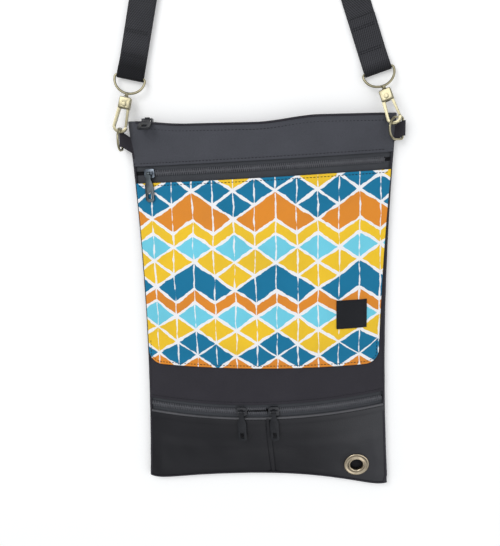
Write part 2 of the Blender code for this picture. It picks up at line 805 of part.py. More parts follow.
def top_tape(name, back, materials, collection):
    """One tape of the top zip: flat beside the chain, then turned in behind its panel."""
    slit = TOP_ZIP_LEVEL + (-TAPE_SLIT if back else TAPE_SLIT)
    skipped = 2
    columns = COLUMNS - 2 * skipped
    depths = [0.0, 0.0, 0.4, 1.0]

    def wall(x, y):
        if back:
            return back_height(x, y) + SEAT + TAPE / 2
        return front_height(x, y) - TAPE_DROP - TAPE / 2

    def point(across, along):
        share = math.sin(math.pi * ((skipped + across * columns) / COLUMNS - 0.5))
        row = int(round(along * (len(depths) - 1)))
        y = TOP_ZIP_Y - (TAPE_HALF - ZIP_OPENING) * depths[row]
        x = share * half_width(y)
        return (x, y, slit if row == 0 else wall(x, y))
    return sheet(name, point, columns, len(depths) - 1, TAPE, materials["tape"], collection, 0.0)


def make_zips(materials, collection):
    slider = slider_mesh()
    front_pull = pull_mesh(FRONT_PULL_LENGTH)
    lower_pull = pull_mesh(LOWER_PULL_LENGTH)
    top_pull = pull_mesh(TOP_PULL_LENGTH)
    rear = SLIDER_LENGTH / 2 - POST_LENGTH - 0.6 * MM - SEAT
    end = WAIST_HALF - 2 * ZIP_END_MARGIN

    make_front_zip("front_zip", front_zip_y,
                   [("front_zip_coil", FRONT_SLIDER_X - rear, end)], materials, collection)
    make_front_zip("lower_zip", lower_zip_y,
                   [("lower_zip_coil_left", -end, LOWER_LEFT_SLIDER_X + rear),
                    ("lower_zip_coil_right", LOWER_RIGHT_SLIDER_X - rear, end)],
                   materials, collection)
    top_tape("top_zip_tape_front", False, materials, collection)
    top_tape("top_zip_tape_back", True, materials, collection)
    coil("top_zip_coil", TOP_SLIDER_X - rear, end, top_place, materials["coil"], collection)

    travellers = [
        ("front_zip_slider", "front_zip_pull", front_zip_y, FRONT_SLIDER_X, True, front_pull,
         FRONT_PULL_DROOP),
        ("lower_zip_slider_left", "lower_zip_pull_left", lower_zip_y, LOWER_LEFT_SLIDER_X, False,
         lower_pull, LOWER_PULL_DROOP),
        ("lower_zip_slider_right", "lower_zip_pull_right", lower_zip_y, LOWER_RIGHT_SLIDER_X, True,
         lower_pull, LOWER_PULL_DROOP),
    ]
    for name, pull_name, line, x, turned_round, pull, droop in travellers:
        matrix = front_slider_frame(line, x)
        base_matrix = path_frame(line)
        base = add_empty(name + "_path_centre", base_matrix, collection)
        make_slider(name, pull_name, matrix, turned_round, pull, droop, base, base_matrix,
                    slider, materials, collection)
    matrix = top_slider_frame(TOP_SLIDER_X)
    base = add_empty("top_zip_line", matrix, collection)
    make_slider("top_zip_slider", "top_zip_pull", matrix, True, top_pull, TOP_PULL_DROOP, base,
                matrix, slider, materials, collection)


def wire(name, points, radius, cyclic, material, collection, resolution=1):
    """A round wire through the points."""
    curve = bpy.data.curves.new(name, "CURVE")
    curve.dimensions = "3D"
    curve.bevel_depth = radius
    curve.bevel_resolution = resolution
    curve.use_fill_caps = not cyclic
    spline = curve.splines.new("POLY")
    spline.points.add(len(points) - 1)
    spline.use_cyclic_u = cyclic
    for index, place in enumerate(points):
        spline.points[index].co = (place[0], place[1], place[2], 1)
    return link(bpy.data.objects.new(name, curve), material, collection)


def ring_matrix(spot, lean):
    """A ring's matrix: its bar along Y, its bow up +Z before it leans."""
    place = Vector((spot[0], spot[1], RING_BAR_HEIGHT))
    return Matrix.Translation(place) @ Matrix.Rotation(lean, 4, "Y")


def make_ring(name, spot, lean, material, collection):
    """D-ring bent from one wire, with its origin on its straight bar."""
    corner = 2.4 * MM
    flat = arc((RING_HALF - corner, corner), corner, -90, 0, 3)
    side = [(RING_HALF, RING_SIDE)]
    bow = arc((0, RING_SIDE), RING_HALF, 15, 165, 10)
    outline = flat + side + bow
    outline += [(-RING_HALF, RING_SIDE)]
    outline += [(-y, z) for y, z in reversed(flat)]
    points = [(0, y, z) for y, z in outline]
    ring = wire(name, points, RING_WIRE, True, material, collection)
    ring.matrix_world = ring_matrix(spot, lean)
    return ring


def make_tab(name, spot, side, material, collection):
    """Cloth tab folded round a ring's bar, with both ends at the side seam."""
    loop = RING_WIRE + SEAT + FABRIC / 2
    steps = 8

    def point(across, along):
        y = spot[1] - TAB_WIDTH / 2 + TAB_WIDTH * across
        seam = half_width(y) + SEAT
        centre = abs(spot[0])
        row = int(round(along * (steps + 4)))
        angle = math.pi / 2 * (1 - 2 * min(max(row - 2, 0), steps) / steps)
        x = centre + loop * math.cos(angle)
        z = RING_BAR_HEIGHT + loop * math.sin(angle)
        leaf = FABRIC / 2 + SEAT / 2
        if row in (0, steps + 4):
            x = seam
            z = SEAM_HEIGHT - 2.2 * MM + (leaf if row == 0 else -leaf)
        elif row in (1, steps + 3):
            share = 0.45
            x = seam + (centre - seam) * share
            flat = SEAM_HEIGHT - 2.2 * MM + (leaf if row == 1 else -leaf)
            z = flat + (z - flat) * 0.6
        y -= TAB_SLANT * (centre - min(x, centre))
        return (side * x, y, z)
    return sheet(name, point, 3, steps + 4, FABRIC, material, collection, 0.0)


def link_point(spot, lean, level):
    """Middle of the ring's wire where the hook's bow takes hold of it."""
    above = max(level - RING_SIDE, 0.0)
    return ring_matrix(spot, lean) @ Vector((0, math.sqrt(RING_HALF ** 2 - above ** 2), level))


def hook_matrix(grip, room, lean, lift):
    """A hook's matrix: origin on the eye's bar, +Y from the bow to the eye."""
    reach = LINK_REACH - room
    eye_height = lift + STRAP_THICKNESS / 2 + LOOP_RADIUS
    rise = (eye_height - grip.z) / reach
    flat = math.sqrt(1.0 - rise ** 2)
    along = Vector((math.sin(lean) * flat, math.cos(lean) * flat, rise))
    across = along.cross(Vector((0, 0, 1))).normalized()
    normal = across.cross(along)
    matrix = Matrix((across, along, normal)).transposed().to_4x4()
    matrix.translation = grip + along * reach
    return matrix


def eye_points():
    """The eye's closed wire: a straight bar under the webbing and a half-round bow."""
    corner = 2.2 * MM
    right = [(EYE_HALF - corner, 0), (EYE_HALF - corner * 0.3, -corner * 0.3),
             (EYE_HALF, -corner)]
    bow = []
    for index in range(1, 12):
        angle = math.pi * index / 12
        bow.append((EYE_HALF * math.cos(angle), -corner - (EYE_DEPTH - corner) * math.sin(angle)))
    left = [(-x, y) for x, y in reversed(right)]
    return [(x, y, 0) for x, y in right + bow + left]


def make_eye(name, matrix, material, collection):
    """The hook's eye, with the headed stud that the hook turns on."""
    guide = wire(name + "_wire", eye_points(), EYE_WIRE, True, material, collection)
    bpy.context.view_layer.update()
    evaluated = guide.evaluated_get(bpy.context.evaluated_depsgraph_get())
    mesh = bpy.data.meshes.new_from_object(evaluated)
    bpy.data.objects.remove(guide)
    ring = bmesh.new()
    ring.from_mesh(mesh)
    bmesh.ops.remove_doubles(ring, verts=ring.verts, dist=0.00001)
    neck_top = -(EYE_DEPTH - EYE_WIRE * 0.3)
    neck_end = BLOCK_TOP + SEAT
    stud_end = BLOCK_TOP - STUD_LENGTH
    pieces = [(NECK_RADIUS, neck_top, neck_end), (STUD_RADIUS, neck_end + 0.1 * MM, stud_end),
              (STUD_HEAD, stud_end + STUD_HEAD_LENGTH, stud_end)]
    shapes = [("UNION", ring)]
    for radius, high, low in pieces:
        shapes.append(("UNION", cylinder(radius, high - low, "Y", (0, (high + low) / 2, 0), 12)))
    solid = solid_from(shapes, name)
    thing = bpy.data.objects.new(name, solid)
    solid.materials.clear()
    solid.materials.append(material)
    collection.objects.link(thing)
    thing.matrix_world = matrix
    return thing


def hook_outline():
    """Outline of the hook's flat frame: head, one leg, bow and the short nose."""
    block_foot = BLOCK_TOP - BLOCK_LENGTH
    foot = -HOOK_LENGTH
    shoulder = foot + BOW_HALF - 0.6 * MM
    tip = foot + GATE_TIP_LIFT
    inner = BOW_HALF - LEG_WIDTH
    outer_bow = [(BOW_HALF * math.cos(a), shoulder + (BOW_HALF - 0.6 * MM) * math.sin(a))
                 for a in (math.radians(d) for d in range(-15, -166, -25))]
    inner_deep = shoulder - (foot + BOW_WIDTH)
    inner_bow = [(inner * math.cos(a), shoulder + inner_deep * math.sin(a))
                 for a in (math.radians(d) for d in range(-165, -14, 25))]
    inside = BLOCK_HALF - 0.4 * MM
    points = [(-inside, BLOCK_TOP - 1 * MM), (inside, BLOCK_TOP - 1 * MM),
              (inside, block_foot + 1 * MM), (-inside + LEG_WIDTH, block_foot + 1 * MM),
              (-inner, shoulder)]
    points += inner_bow
    points += [(inner, tip), (BOW_HALF, tip)]
    points += outer_bow
    points += [(-BOW_HALF, shoulder)]
    return points


def hook_body_mesh():
    """Cast hook frame with a bored and slotted head."""
    block_foot = BLOCK_TOP - BLOCK_LENGTH
    bore = STUD_RADIUS + SEAT
    cavity = STUD_HEAD + SEAT
    stud_end = BLOCK_TOP - STUD_LENGTH
    head_top = stud_end + STUD_HEAD_LENGTH + SEAT
    slot = GATE_THICKNESS / 2 + SEAT
    head = box((-BLOCK_HALF, block_foot, -BLOCK_THICKNESS / 2),
               (BLOCK_HALF, BLOCK_TOP, BLOCK_THICKNESS / 2))
    bmesh.ops.bevel(head, geom=list(head.edges), offset=0.7 * MM, segments=1, affect="EDGES")
    shapes = [("UNION", head), ("UNION", plate([hook_outline()], FRAME_THICKNESS))]
    shapes.append(("DIFFERENCE", cylinder(bore, 4 * MM, "Y", (0, BLOCK_TOP, 0), 14)))
    shapes.append(("DIFFERENCE", cylinder(cavity, head_top - stud_end + SEAT, "Y",
                                          (0, (head_top + stud_end - SEAT) / 2, 0), 14)))
    shapes.append(("DIFFERENCE", box((-2.9 * MM, block_foot - 1 * MM, -slot),
                                     (BLOCK_HALF + 1 * MM, RIVET_Y + 2.9 * MM, slot))))
    shapes.append(("DIFFERENCE", cylinder(RIVET_RADIUS + SEAT, 2 * BLOCK_THICKNESS, "Z",
                                          (0, RIVET_Y, 0), 12)))
    return solid_from(shapes, "hook_body")


def gate_mesh():
    """Sprung gate with its origin on the rivet."""
    tip = -HOOK_LENGTH + GATE_TIP_LIFT + SEAT - RIVET_Y
    outer = BOW_HALF - 0.5 * MM
    root = BLOCK_TOP - BLOCK_LENGTH - RIVET_Y
    eye = 2.5 * MM
    outline = arc((0, 0), eye, 60, 250, 8)
    outline += [(BLOCK_HALF - 0.4 * MM - GATE_WIDTH, root - 0.6 * MM), (outer - GATE_WIDTH, tip),
                (outer, tip + GATE_TIP_SLANT), (BLOCK_HALF - 0.2 * MM, root), (BLOCK_HALF - 0.2 * MM, 0.9 * MM)]
    hole = arc((0, 0), RIVET_RADIUS + SEAT, 0, 330, 11)
    return solid_from([("UNION", plate([outline, hole], GATE_THICKNESS))], "hook_gate")


def rivet_mesh():
    """Rivet through the hook's head, about Z at the origin."""
    face = BLOCK_THICKNESS / 2 + SEAT * 0.5
    shapes = [("UNION", cylinder(RIVET_RADIUS, 2 * face + 0.4 * MM, "Z", (0, 0, 0), 12))]
    for side in (-1, 1):
        middle = side * (face + RIVET_HEAD_HEIGHT / 2)
        shapes.append(("UNION", cylinder(RIVET_HEAD, RIVET_HEAD_HEIGHT, "Z", (0, 0, middle), 14)))
    return solid_from(shapes, "hook_rivet")


def make_hook(side, matrix, roll, meshes, material, collection):
    """One snap hook: eye, turning body, gate and rivet."""
    eye = make_eye("hook_eye_" + side, matrix, material, collection)
    body_matrix = matrix @ Matrix.Rotation(roll, 4, "Y")
    body = add_child("hook_body_" + side, meshes["body"], material, collection, eye, matrix,
                     body_matrix)
    rivet_matrix = body_matrix @ Matrix.Translation((0, RIVET_Y, 0))
    for name, mesh in (("hook_gate_", meshes["gate"]), ("hook_rivet_", meshes["rivet"])):
        add_child(name + side, mesh, material, collection, body, body_matrix, rivet_matrix)


def strap_axes(matrix, lean):
    """Start, run direction and width direction of the webbing at a hook's eye."""
    run = Vector((math.sin(lean), math.cos(lean), 0))
    width = Vector((run.y, -run.x, 0))
    return matrix.translation.copy(), run, width


def loop_stations(matrix, lean, tail, straight):
    """Webbing from the tail's end, round the eye's bar and along the main layer."""
    origin, run, width = strap_axes(matrix, lean)
    stations = []

    def add(along, up):
        stations.append((origin + run * along + Vector((0, 0, up)), width))

    over = -LOOP_RADIUS + STRAP_THICKNESS + SEAT
    for share in (1.0, 0.75, 0.5, 0.3):
        add(max(tail * share, LOOP_RUN), over)
    for share in (0.75, 0.5, 0.25):
        add(LOOP_RUN * share, over + (LOOP_RADIUS - over) * ease(1.0 - share))
    steps = 8
    for index in range(steps + 1):
        angle = math.pi / 2 + math.pi * index / steps
        add(LOOP_RADIUS * math.cos(angle), LOOP_RADIUS * math.sin(angle))
    for share in (0.1, 0.35, 0.7, 1.0):
        add(straight * share, -LOOP_RADIUS)
    return [station for index, station in enumerate(stations)
            if index == 0 or (station[0] - stations[index - 1][0]).length > 0.0003]


def arch_stations(left, left_run, right, right_run):
    """Webbing over the arch, turned on edge between the two flat stretches."""
    top = Vector((ARCH_X, ARCH_Y, 0))
    side = Vector((1, 0, 0))
    first = interpolate_bezier(left, left + left_run * ARCH_HANDLE, top - side * ARCH_HALF, top,
                               ARCH_STEPS)
    second = interpolate_bezier(top, top + side * ARCH_HALF, right + right_run * ARCH_HANDLE,
                                right, ARCH_STEPS)
    points = [Vector(p) for p in first] + [Vector(p) for p in second[1:]]
    lengths = [0.0]
    for index in range(1, len(points)):
        lengths.append(lengths[-1] + (points[index] - points[index - 1]).length)
    total = lengths[-1]
    stations = []
    for index in range(1, len(points) - 1):
        run = (points[index + 1] - points[index - 1])
        run.z = 0
        run.normalize()
        near_start = ease(lengths[index] / TWIST_RUN)
        near_end = ease((total - lengths[index]) / TWIST_RUN)
        turn = math.pi / 2 * near_start * near_end
        flat = Vector((run.y, -run.x, 0))
        width = flat * math.cos(turn) + Vector((0, 0, 1)) * math.sin(turn)
        floor = (STRAP_WIDTH * math.sin(turn) + STRAP_THICKNESS * math.cos(turn)) / 2
        share = lengths[index] / total
        lift = left.z + (right.z - left.z) * share - STRAP_THICKNESS / 2
        place = Vector((points[index].x, points[index].y, floor + max(lift, 3 * SEAT)))
        stations.append((place, width))
    return stations


def make_strap(left_matrix, right_matrix, material, collection):
    """One length of webbing from the left tail, round both eyes."""
    left = loop_stations(left_matrix, LEFT_LEAN, LEFT_TAIL, LEFT_STRAIGHT)
    right = loop_stations(right_matrix, RIGHT_LEAN, RIGHT_TAIL, RIGHT_STRAIGHT)
    left_run = strap_axes(left_matrix, LEFT_LEAN)[1]
    right_run = strap_axes(right_matrix, RIGHT_LEAN)[1]
    arch = arch_stations(left[-1][0], left_run, right[-1][0], right_run)
    right_side = [(place, -width) for place, width in reversed(right)]
    stations = left + arch + right_side

    def point(across, along):
        place, width = stations[int(round(along * (len(stations) - 1)))]
        return place + width * (STRAP_WIDTH * (across - 0.5))
    return sheet("strap", point, 1, len(stations) - 1, STRAP_THICKNESS, material, collection, 0.0)


def slide_matrix(left_matrix):
    """The strap slide's matrix: +Y along the webbing, origin between the two layers."""
    origin, run, width = strap_axes(left_matrix, LEFT_LEAN)
    matrix = Matrix((width, run, Vector((0, 0, 1)))).transposed().to_4x4()
    level = -LOOP_RADIUS + (STRAP_THICKNESS + SEAT) / 2
    matrix.translation = origin + run * SLIDE_AT + Vector((0, 0, level))
    return matrix


def make_strap_slide(matrix, material, collection):
    """Three-bar slide: two end bars over the webbing and a centre bar under it."""
    gap = STRAP_THICKNESS + SEAT / 2 + SEAT
    half = STRAP_WIDTH / 2 + SEAT * 2
    outer = half + SLIDE_RAIL
    end = SLIDE_LENGTH / 2
    inner = end - SLIDE_BAR
    corner = 1.5 * MM
    outline = [(-outer + corner, -end), (outer - corner, -end), (outer, -end + corner),
               (outer, end - corner), (outer - corner, end), (-outer + corner, end),
               (-outer, end - corner), (-outer, -end + corner)]
    window = [(-half, -inner), (half, -inner), (half, inner), (-half, inner)]
    shapes = [("UNION", plate([outline, window], SLIDE_PLATE, gap + SLIDE_PLATE / 2)),
              ("UNION", box((-outer + 0.4 * MM, -SLIDE_BAR / 2, -gap - SLIDE_PLATE),
                            (outer - 0.4 * MM, SLIDE_BAR / 2, -gap)))]
    for side in (-1, 1):
        low = min(side * half, side * (outer - 0.4 * MM))
        high = max(side * half, side * (outer - 0.4 * MM))
        shapes.append(("UNION", box((low, -SLIDE_BAR / 2, -gap - SLIDE_PLATE),
                                    (high, SLIDE_BAR / 2, gap + SLIDE_PLATE / 2))))
    mesh = solid_from(shapes, "strap_slide")
    mesh.materials.append(material)
    thing = bpy.data.objects.new("strap_slide", mesh)
    collection.objects.link(thing)
    thing.matrix_world = matrix
    return thing


def make_materials():
    materials = {
        "fabric": make_material("black_fabric", BLACK_FABRIC, 0.8),
        "band": make_material("band_fabric", BAND_FABRIC, 0.75),
        "lining": make_material("lining_fabric", BLACK_FABRIC, 0.7),
        "leather": make_material("grained_leather", BLACK_LEATHER, 0.5),
        "tape": make_material("zip_tape", TAPE_BLACK, 0.8),
        "coil": make_material("zip_coil", TAPE_BLACK, 0.45),
        "slider": make_material("slider_metal", SLIDER_BLACK, 0.35, 0.8),
        "pull": make_material("pull_metal", PULL_GREY, 0.35, 0.8),
        "webbing": make_material("webbing", WEBBING_BLACK, 0.75),
        "gold": make_material("pale_gold", PALE_GOLD, 0.25, 1.0),
        "brass": make_material("old_brass", OLD_BRASS, 0.35, 1.0),
        "label": make_material("label_weave", BLACK_FABRIC, 0.7),
    }
    return materials


def main():
    clear_scene()
    collection = make_collection(COLLECTION_NAME)
    cutters = make_collection(COLLECTION_NAME + "_cutters", hidden=True)
    materials = make_materials()
    lower_pocket = make_panels(materials, collection)
    prints = [make_material(name, colour, 0.7) for name, colour in PRINT_COLOURS.items()]
    make_printed_pocket(prints, collection)
    make_label(materials["label"], collection)
    make_eyelet(lower_pocket, materials["brass"], collection, cutters)
    make_zips(materials, collection)
    left_grip = link_point(LEFT_RING, LEFT_RING_LEAN, LEFT_LINK_LEVEL)
    right_grip = link_point(RIGHT_RING, RIGHT_RING_LEAN, RIGHT_LINK_LEVEL)
    left = hook_matrix(left_grip, LEFT_LINK_ROOM, LEFT_LEAN, LEFT_STRAP_LIFT)
    right = hook_matrix(right_grip, RIGHT_LINK_ROOM, RIGHT_LEAN, RIGHT_STRAP_LIFT)
    make_tab("tab_left", LEFT_RING, -1, materials["fabric"], collection)
    make_tab("tab_right", RIGHT_RING, 1, materials["fabric"], collection)
    make_ring("tab_ring_left", LEFT_RING, LEFT_RING_LEAN, materials["gold"], collection)
    make_ring("tab_ring_right", RIGHT_RING, RIGHT_RING_LEAN, materials["gold"], collection)
    meshes = {"body": hook_body_mesh(), "gate": gate_mesh(), "rivet": rivet_mesh()}
    make_hook("left", left, LEFT_ROLL, meshes, materials["gold"], collection)
    make_hook("right", right, RIGHT_ROLL, meshes, materials["gold"], collection)
    make_strap(left, right, materials["webbing"], collection)
    make_strap_slide(slide_matrix(left), materials["gold"], collection)


main()
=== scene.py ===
"""Looks of the flat crossbody bag: cloth, print, zips, hardware, strap, camera and lights."""

import json
import math

import bmesh
import bpy
from mathutils import Matrix, Vector, noise
from mathutils.geometry import interpolate_bezier

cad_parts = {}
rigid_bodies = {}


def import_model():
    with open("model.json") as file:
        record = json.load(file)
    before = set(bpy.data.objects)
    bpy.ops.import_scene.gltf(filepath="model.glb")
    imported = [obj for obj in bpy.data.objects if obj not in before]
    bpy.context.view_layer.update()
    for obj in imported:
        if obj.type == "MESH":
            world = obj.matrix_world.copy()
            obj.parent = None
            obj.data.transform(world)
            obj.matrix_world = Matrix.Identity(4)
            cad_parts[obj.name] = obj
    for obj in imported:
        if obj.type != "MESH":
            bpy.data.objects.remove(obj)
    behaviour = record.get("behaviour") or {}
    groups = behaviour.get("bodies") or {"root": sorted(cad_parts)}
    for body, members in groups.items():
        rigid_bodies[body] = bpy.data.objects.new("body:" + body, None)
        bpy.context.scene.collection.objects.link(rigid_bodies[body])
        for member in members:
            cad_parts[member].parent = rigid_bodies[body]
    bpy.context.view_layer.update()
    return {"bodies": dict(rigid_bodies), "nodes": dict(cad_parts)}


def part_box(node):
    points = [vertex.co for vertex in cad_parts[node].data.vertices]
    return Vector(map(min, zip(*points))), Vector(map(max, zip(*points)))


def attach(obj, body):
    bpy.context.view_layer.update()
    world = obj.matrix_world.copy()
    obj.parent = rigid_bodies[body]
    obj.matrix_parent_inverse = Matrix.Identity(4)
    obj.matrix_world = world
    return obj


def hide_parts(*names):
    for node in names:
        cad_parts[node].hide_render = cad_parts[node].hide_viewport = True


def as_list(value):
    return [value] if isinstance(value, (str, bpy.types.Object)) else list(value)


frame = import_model()

MM = 0.001
BAG = "bag"
UP = Vector((0, 0, 1))

# Bag outline and layers, as in the source
HALF_LENGTH = 181.5 * MM
WAIST_HALF = 117.5 * MM
WAIST_Y = -20 * MM
TOP_FLARE = 7.5 * MM
FOOT_DRAW = 8 * MM
FOOT_CORNER = 5 * MM
FOOT_SLANT = 6.5 * MM
SEAM_HEIGHT = 6.5 * MM
DOME_RISE = 19 * MM
MOUTH_RISE = 8.8 * MM
MOUTH_RUN = 34 * MM
FOOT_RUN = 60 * MM
BACK_LIFT = 1.1 * MM
BACK_LIFT_RUN = 12 * MM
POCKET_ROOM = 3 * MM
FABRIC = 1.2 * MM
LINING = 0.6 * MM
TAPE = 0.6 * MM
SEAT = 0.3 * MM
TAPE_SEAT = 0.5 * MM
LINING_MARGIN = 9 * MM
TAPE_DROP = FABRIC + TAPE_SEAT
TAPE_MIDDLE = TAPE_DROP + TAPE / 2
SEAM_DROP = TAPE_DROP + TAPE + SEAT

# Zips, as in the source
FRONT_ZIP_Y = HALF_LENGTH - 41.2 * MM
FRONT_ZIP_SKEW = 4.5 * MM
LOWER_ZIP_Y = -HALF_LENGTH + 88 * MM
LOWER_ZIP_SKEW = 3.4 * MM
LOWER_ZIP_SAG = 4.4 * MM
ZIP_OPENING = 6.7 * MM
TAPE_HALF = 11 * MM
TAPE_SLIT = 1.7 * MM
ZIP_SEAM_REACH = 0.6 * MM
COIL_LEVEL = TAPE / 2 + SEAT
COIL_WIRE = 0.36 * MM
COIL_PITCH = 1.8 * MM
COIL_HEEL = 2.6 * MM
COIL_LOW = COIL_LEVEL + 0.42 * MM
COIL_HIGH = COIL_LEVEL + 0.88 * MM
TOP_SLIDER_X = -WAIST_HALF + 10.5 * MM
FRONT_SLIDER_X = -WAIST_HALF + 11.5 * MM
LOWER_LEFT_SLIDER_X = -23.5 * MM
LOWER_RIGHT_SLIDER_X = 8 * MM
SLIDER_REAR = 1.95 * MM
# How far below the leather's top edge the lower zip's pulls reach
PULLS_REACH = 24 * MM
CHAIN_END = WAIST_HALF - ZIP_SEAM_REACH
TOP_ZIP_LEVEL = 6.7 * MM
TOP_ZIP_Y = HALF_LENGTH - 1.5 * MM

# Printed pocket and label, as in the source
PRINT_TOP_GAP = 9.3 * MM
PRINT_FOOT_GAP = 40.1 * MM
PRINT_DEPTH = FRONT_ZIP_Y - PRINT_TOP_GAP - LOWER_ZIP_Y - PRINT_FOOT_GAP
PRINT_SIDE_MARGIN = 0.8 * MM
PRINT_SLANT = 5 * MM
PRINT_CORNER = 14 * MM
PRINT_PUFF = 2.4 * MM
PRINT_FLAT_TOP = 34 * MM
PRINT_EDGE_RUN = 26 * MM
LABEL_X = WAIST_HALF - 33 * MM
LABEL_Y = FRONT_ZIP_Y - 141.3 * MM
LABEL_WIDTH = 29.5 * MM
LABEL_HEIGHT = 28 * MM
LABEL_THICKNESS = 0.5 * MM

# Tabs, rings, hooks and strap, as in the source
TAB_WIDTH = 14 * MM
TAB_SLANT = 0.7
RING_WIRE = 1.1 * MM
RING_HALF = 10 * MM
RING_SIDE = 11 * MM
RING_BAR_HEIGHT = 6.2 * MM
RING_CORNER = 2.4 * MM
LEFT_RING = (-WAIST_HALF - 15 * MM, HALF_LENGTH - 13.1 * MM)
LEFT_RING_LEAN = math.radians(3)
LEFT_LINK_LEVEL = 8 * MM
LEFT_LINK_ROOM = 0.6 * MM
RIGHT_RING = (WAIST_HALF + 14 * MM, HALF_LENGTH - 8.5 * MM)
RIGHT_RING_LEAN = math.radians(-42)
RIGHT_LINK_LEVEL = 14 * MM
RIGHT_LINK_ROOM = 2.8 * MM
EYE_WIRE = 1.15 * MM
EYE_HALF = 14.4 * MM
EYE_DEPTH = 15.6 * MM
EYE_CORNER = 2.2 * MM
LINK_REACH = 53.5 * MM - 2.6 * MM - RING_WIRE
LEFT_LEAN = math.radians(12.7)
RIGHT_LEAN = math.radians(-18)
STRAP_WIDTH = 25 * MM
STRAP_THICKNESS = 1.3 * MM
LEFT_STRAP_LIFT = 2.6 * MM
RIGHT_STRAP_LIFT = 0.4 * MM
LOOP_RUN = 17 * MM
LEFT_TAIL = 150 * MM
RIGHT_TAIL = 50 * MM
LEFT_STRAIGHT = 158 * MM
RIGHT_STRAIGHT = 92 * MM
TWIST_RUN = 80 * MM
ARCH_X = -6 * MM
ARCH_Y = HALF_LENGTH + 338.5 * MM
ARCH_HALF = 62 * MM
ARCH_HANDLE = 70 * MM
ARCH_STEPS = 14
LOOP_RADIUS = EYE_WIRE + SEAT + STRAP_THICKNESS / 2

# Eyelet in the leather, as in the source
EYELET_X = WAIST_HALF - 26.5 * MM
EYELET_Y = -HALF_LENGTH + 19.5 * MM
EYELET_HOLE = 7.2 * MM

# Mouth of the bag, which rises towards its ends
RIGHT_RISE = 5.6 * MM
RIGHT_RISE_RUN = 62 * MM
LEFT_RISE = 3.4 * MM
LEFT_RISE_START = 70 * MM
LEFT_RISE_RUN = 52 * MM

# Sewing
SEAM_ROLL_DEPTH = 2.2 * MM
HEM = 7 * MM
HEM_RISE = 0.45 * MM
HEM_ROLL = 0.5 * MM
HEM_ROLL_RUN = 0.8 * MM
GROOVE = 0.32 * MM
GROOVE_HALF = 0.55 * MM
# Rows of a folded edge's grid, in millimetres from the edge
HEM_ROWS = (0.0, 0.4, 1.0, 1.7, 2.1, 2.6, 3.1, 3.6, 4.6, 6.0, 7.0, 8.0, 9.5)
# How far from a seam the cloth's unevenness reaches its full height
SEAM_QUIET = 12 * MM
SIDE_QUIET = 14 * MM
MOUTH_QUIET = 10 * MM
# Heights of the cloth's unevenness
BAND_WAVE = 1.8 * MM
CENTRE_WAVE = 0.8 * MM
POCKET_WAVE = 3.4 * MM
FINE_WAVE = 0.4 * MM
PRINT_PUCKER = 1.0 * MM
PRINT_WAVE = 1.3 * MM
MOUTH_GROOVE = 0.4 * MM
DIVIDER_VALLEY = 1.2 * MM
# The centre panel is smooth above this line
CENTRE_SMOOTH_Y = -60 * MM
STITCH_IN = 2.6 * MM
STITCH_PITCH = 3.3 * MM
STITCH_LENGTH = 2.5 * MM
THREAD = 0.3 * MM
DIVIDER_WIDTH = 4.6 * MM
DIVIDER_SEAT = 0.35 * MM
DIVIDER_CROWN = 1.1 * MM
DIVIDER_STITCH = 2.6 * MM
LABEL_STITCH = 1.4 * MM
MOUTH_STITCH = 6.6 * MM
STRAP_STITCHES = (18.5 * MM, 20.5 * MM, 40 * MM, 42 * MM)
# Where the webbing turns round the eyes, measured along it, and how far a painted shade darkens it there
STRAP_FOLD_SHADE = ((150 * MM, 30 * MM), (824 * MM, 14 * MM))

# How much fuller the top zip's slider and pull look than their plain solids
SWELLS = {"top_zip_slider": (1.4, 1.4, 1.2), "top_zip_pull": (1.35, 1.3, 1.0)}

# Print: chevrons and diamonds on a lattice of columns
COLUMN = 19.7 * MM
ROW = 26.7 * MM
PRINT_PEAK_X = 13 * MM
PRINT_PEAK_Y = 119 * MM
ROWS_IN_BAND = 2.5

# Slope of the twill's ribs, and where a painted sheen makes the leather paler
TWILL_SLOPE = 0.6
SHEEN_FROM = 40 * MM
SHEEN_RUN = 100 * MM

# Rounding of the plain solids: points this close are joined, faces this flat become one
# and edges this sharp are rounded
WELD = 0.01 * MM
FLAT_ANGLE = math.radians(2)
EDGE_ANGLE = math.radians(28)

# Share of white that the floor adds for the camera
FLOOR_GLOW = 0.16

# Surroundings: how the wall that metal shows brightens upwards and to the right, and the
# strength of what lights the rest
WALL_RISE = 1.25
WALL_SLANT = 0.45
WALL_DARK = 0.18
SOFT_LIGHT = 0.62

# Camera at the photograph's angle
CAMERA_AT = (30.09 * MM, 171.73 * MM, 675.82 * MM)
CAMERA_TURN = (-11.396, 3.4528, -1.3055)
FOCAL_IN_PIXELS = 700.0
IMAGE_LONG_SIDE = 546.0
SENSOR = 36.0


def ease(share):
    """Smooth step from 0 to 1."""
    share = min(max(share, 0.0), 1.0)
    return share * share * (3.0 - 2.0 * share)


def half_width(y):
    return WAIST_HALF + TOP_FLARE * ((y - WAIST_Y) / (HALF_LENGTH - WAIST_Y)) ** 2


def side_share(x, y):
    return min(abs(x) / half_width(y), 1.0)


def foot_edge(x):
    share = side_share(x, -HALF_LENGTH)
    slant = FOOT_SLANT * share ** 2 if x > 0 else 0.0
    return -HALF_LENGTH + FOOT_DRAW * (1.0 - share ** 2) + FOOT_CORNER * share ** 16 - slant


def front_height(x, y):
    """Height of the front panels' outer face."""
    share = side_share(x, y)
    mouth = ease((y - (HALF_LENGTH - MOUTH_RUN)) / MOUTH_RUN)
    foot = ease((y - foot_edge(x)) / FOOT_RUN)
    dome = DOME_RISE * (1.0 - share ** 2)
    lip = MOUTH_RISE * (1.0 - share ** 16)
    return SEAM_HEIGHT + foot * ((1.0 - mouth) * dome + mouth * lip)


def lining_height(x, y):
    height = front_height(x, y)
    room = min(POCKET_ROOM, 0.9 * (height - SEAM_HEIGHT))
    return height - SEAM_DROP - room


def back_height(x, y):
    side = side_share(x, y) ** 24
    foot = 1.0 - ease((y - foot_edge(x)) / BACK_LIFT_RUN)
    return FABRIC + BACK_LIFT * max(side, foot)


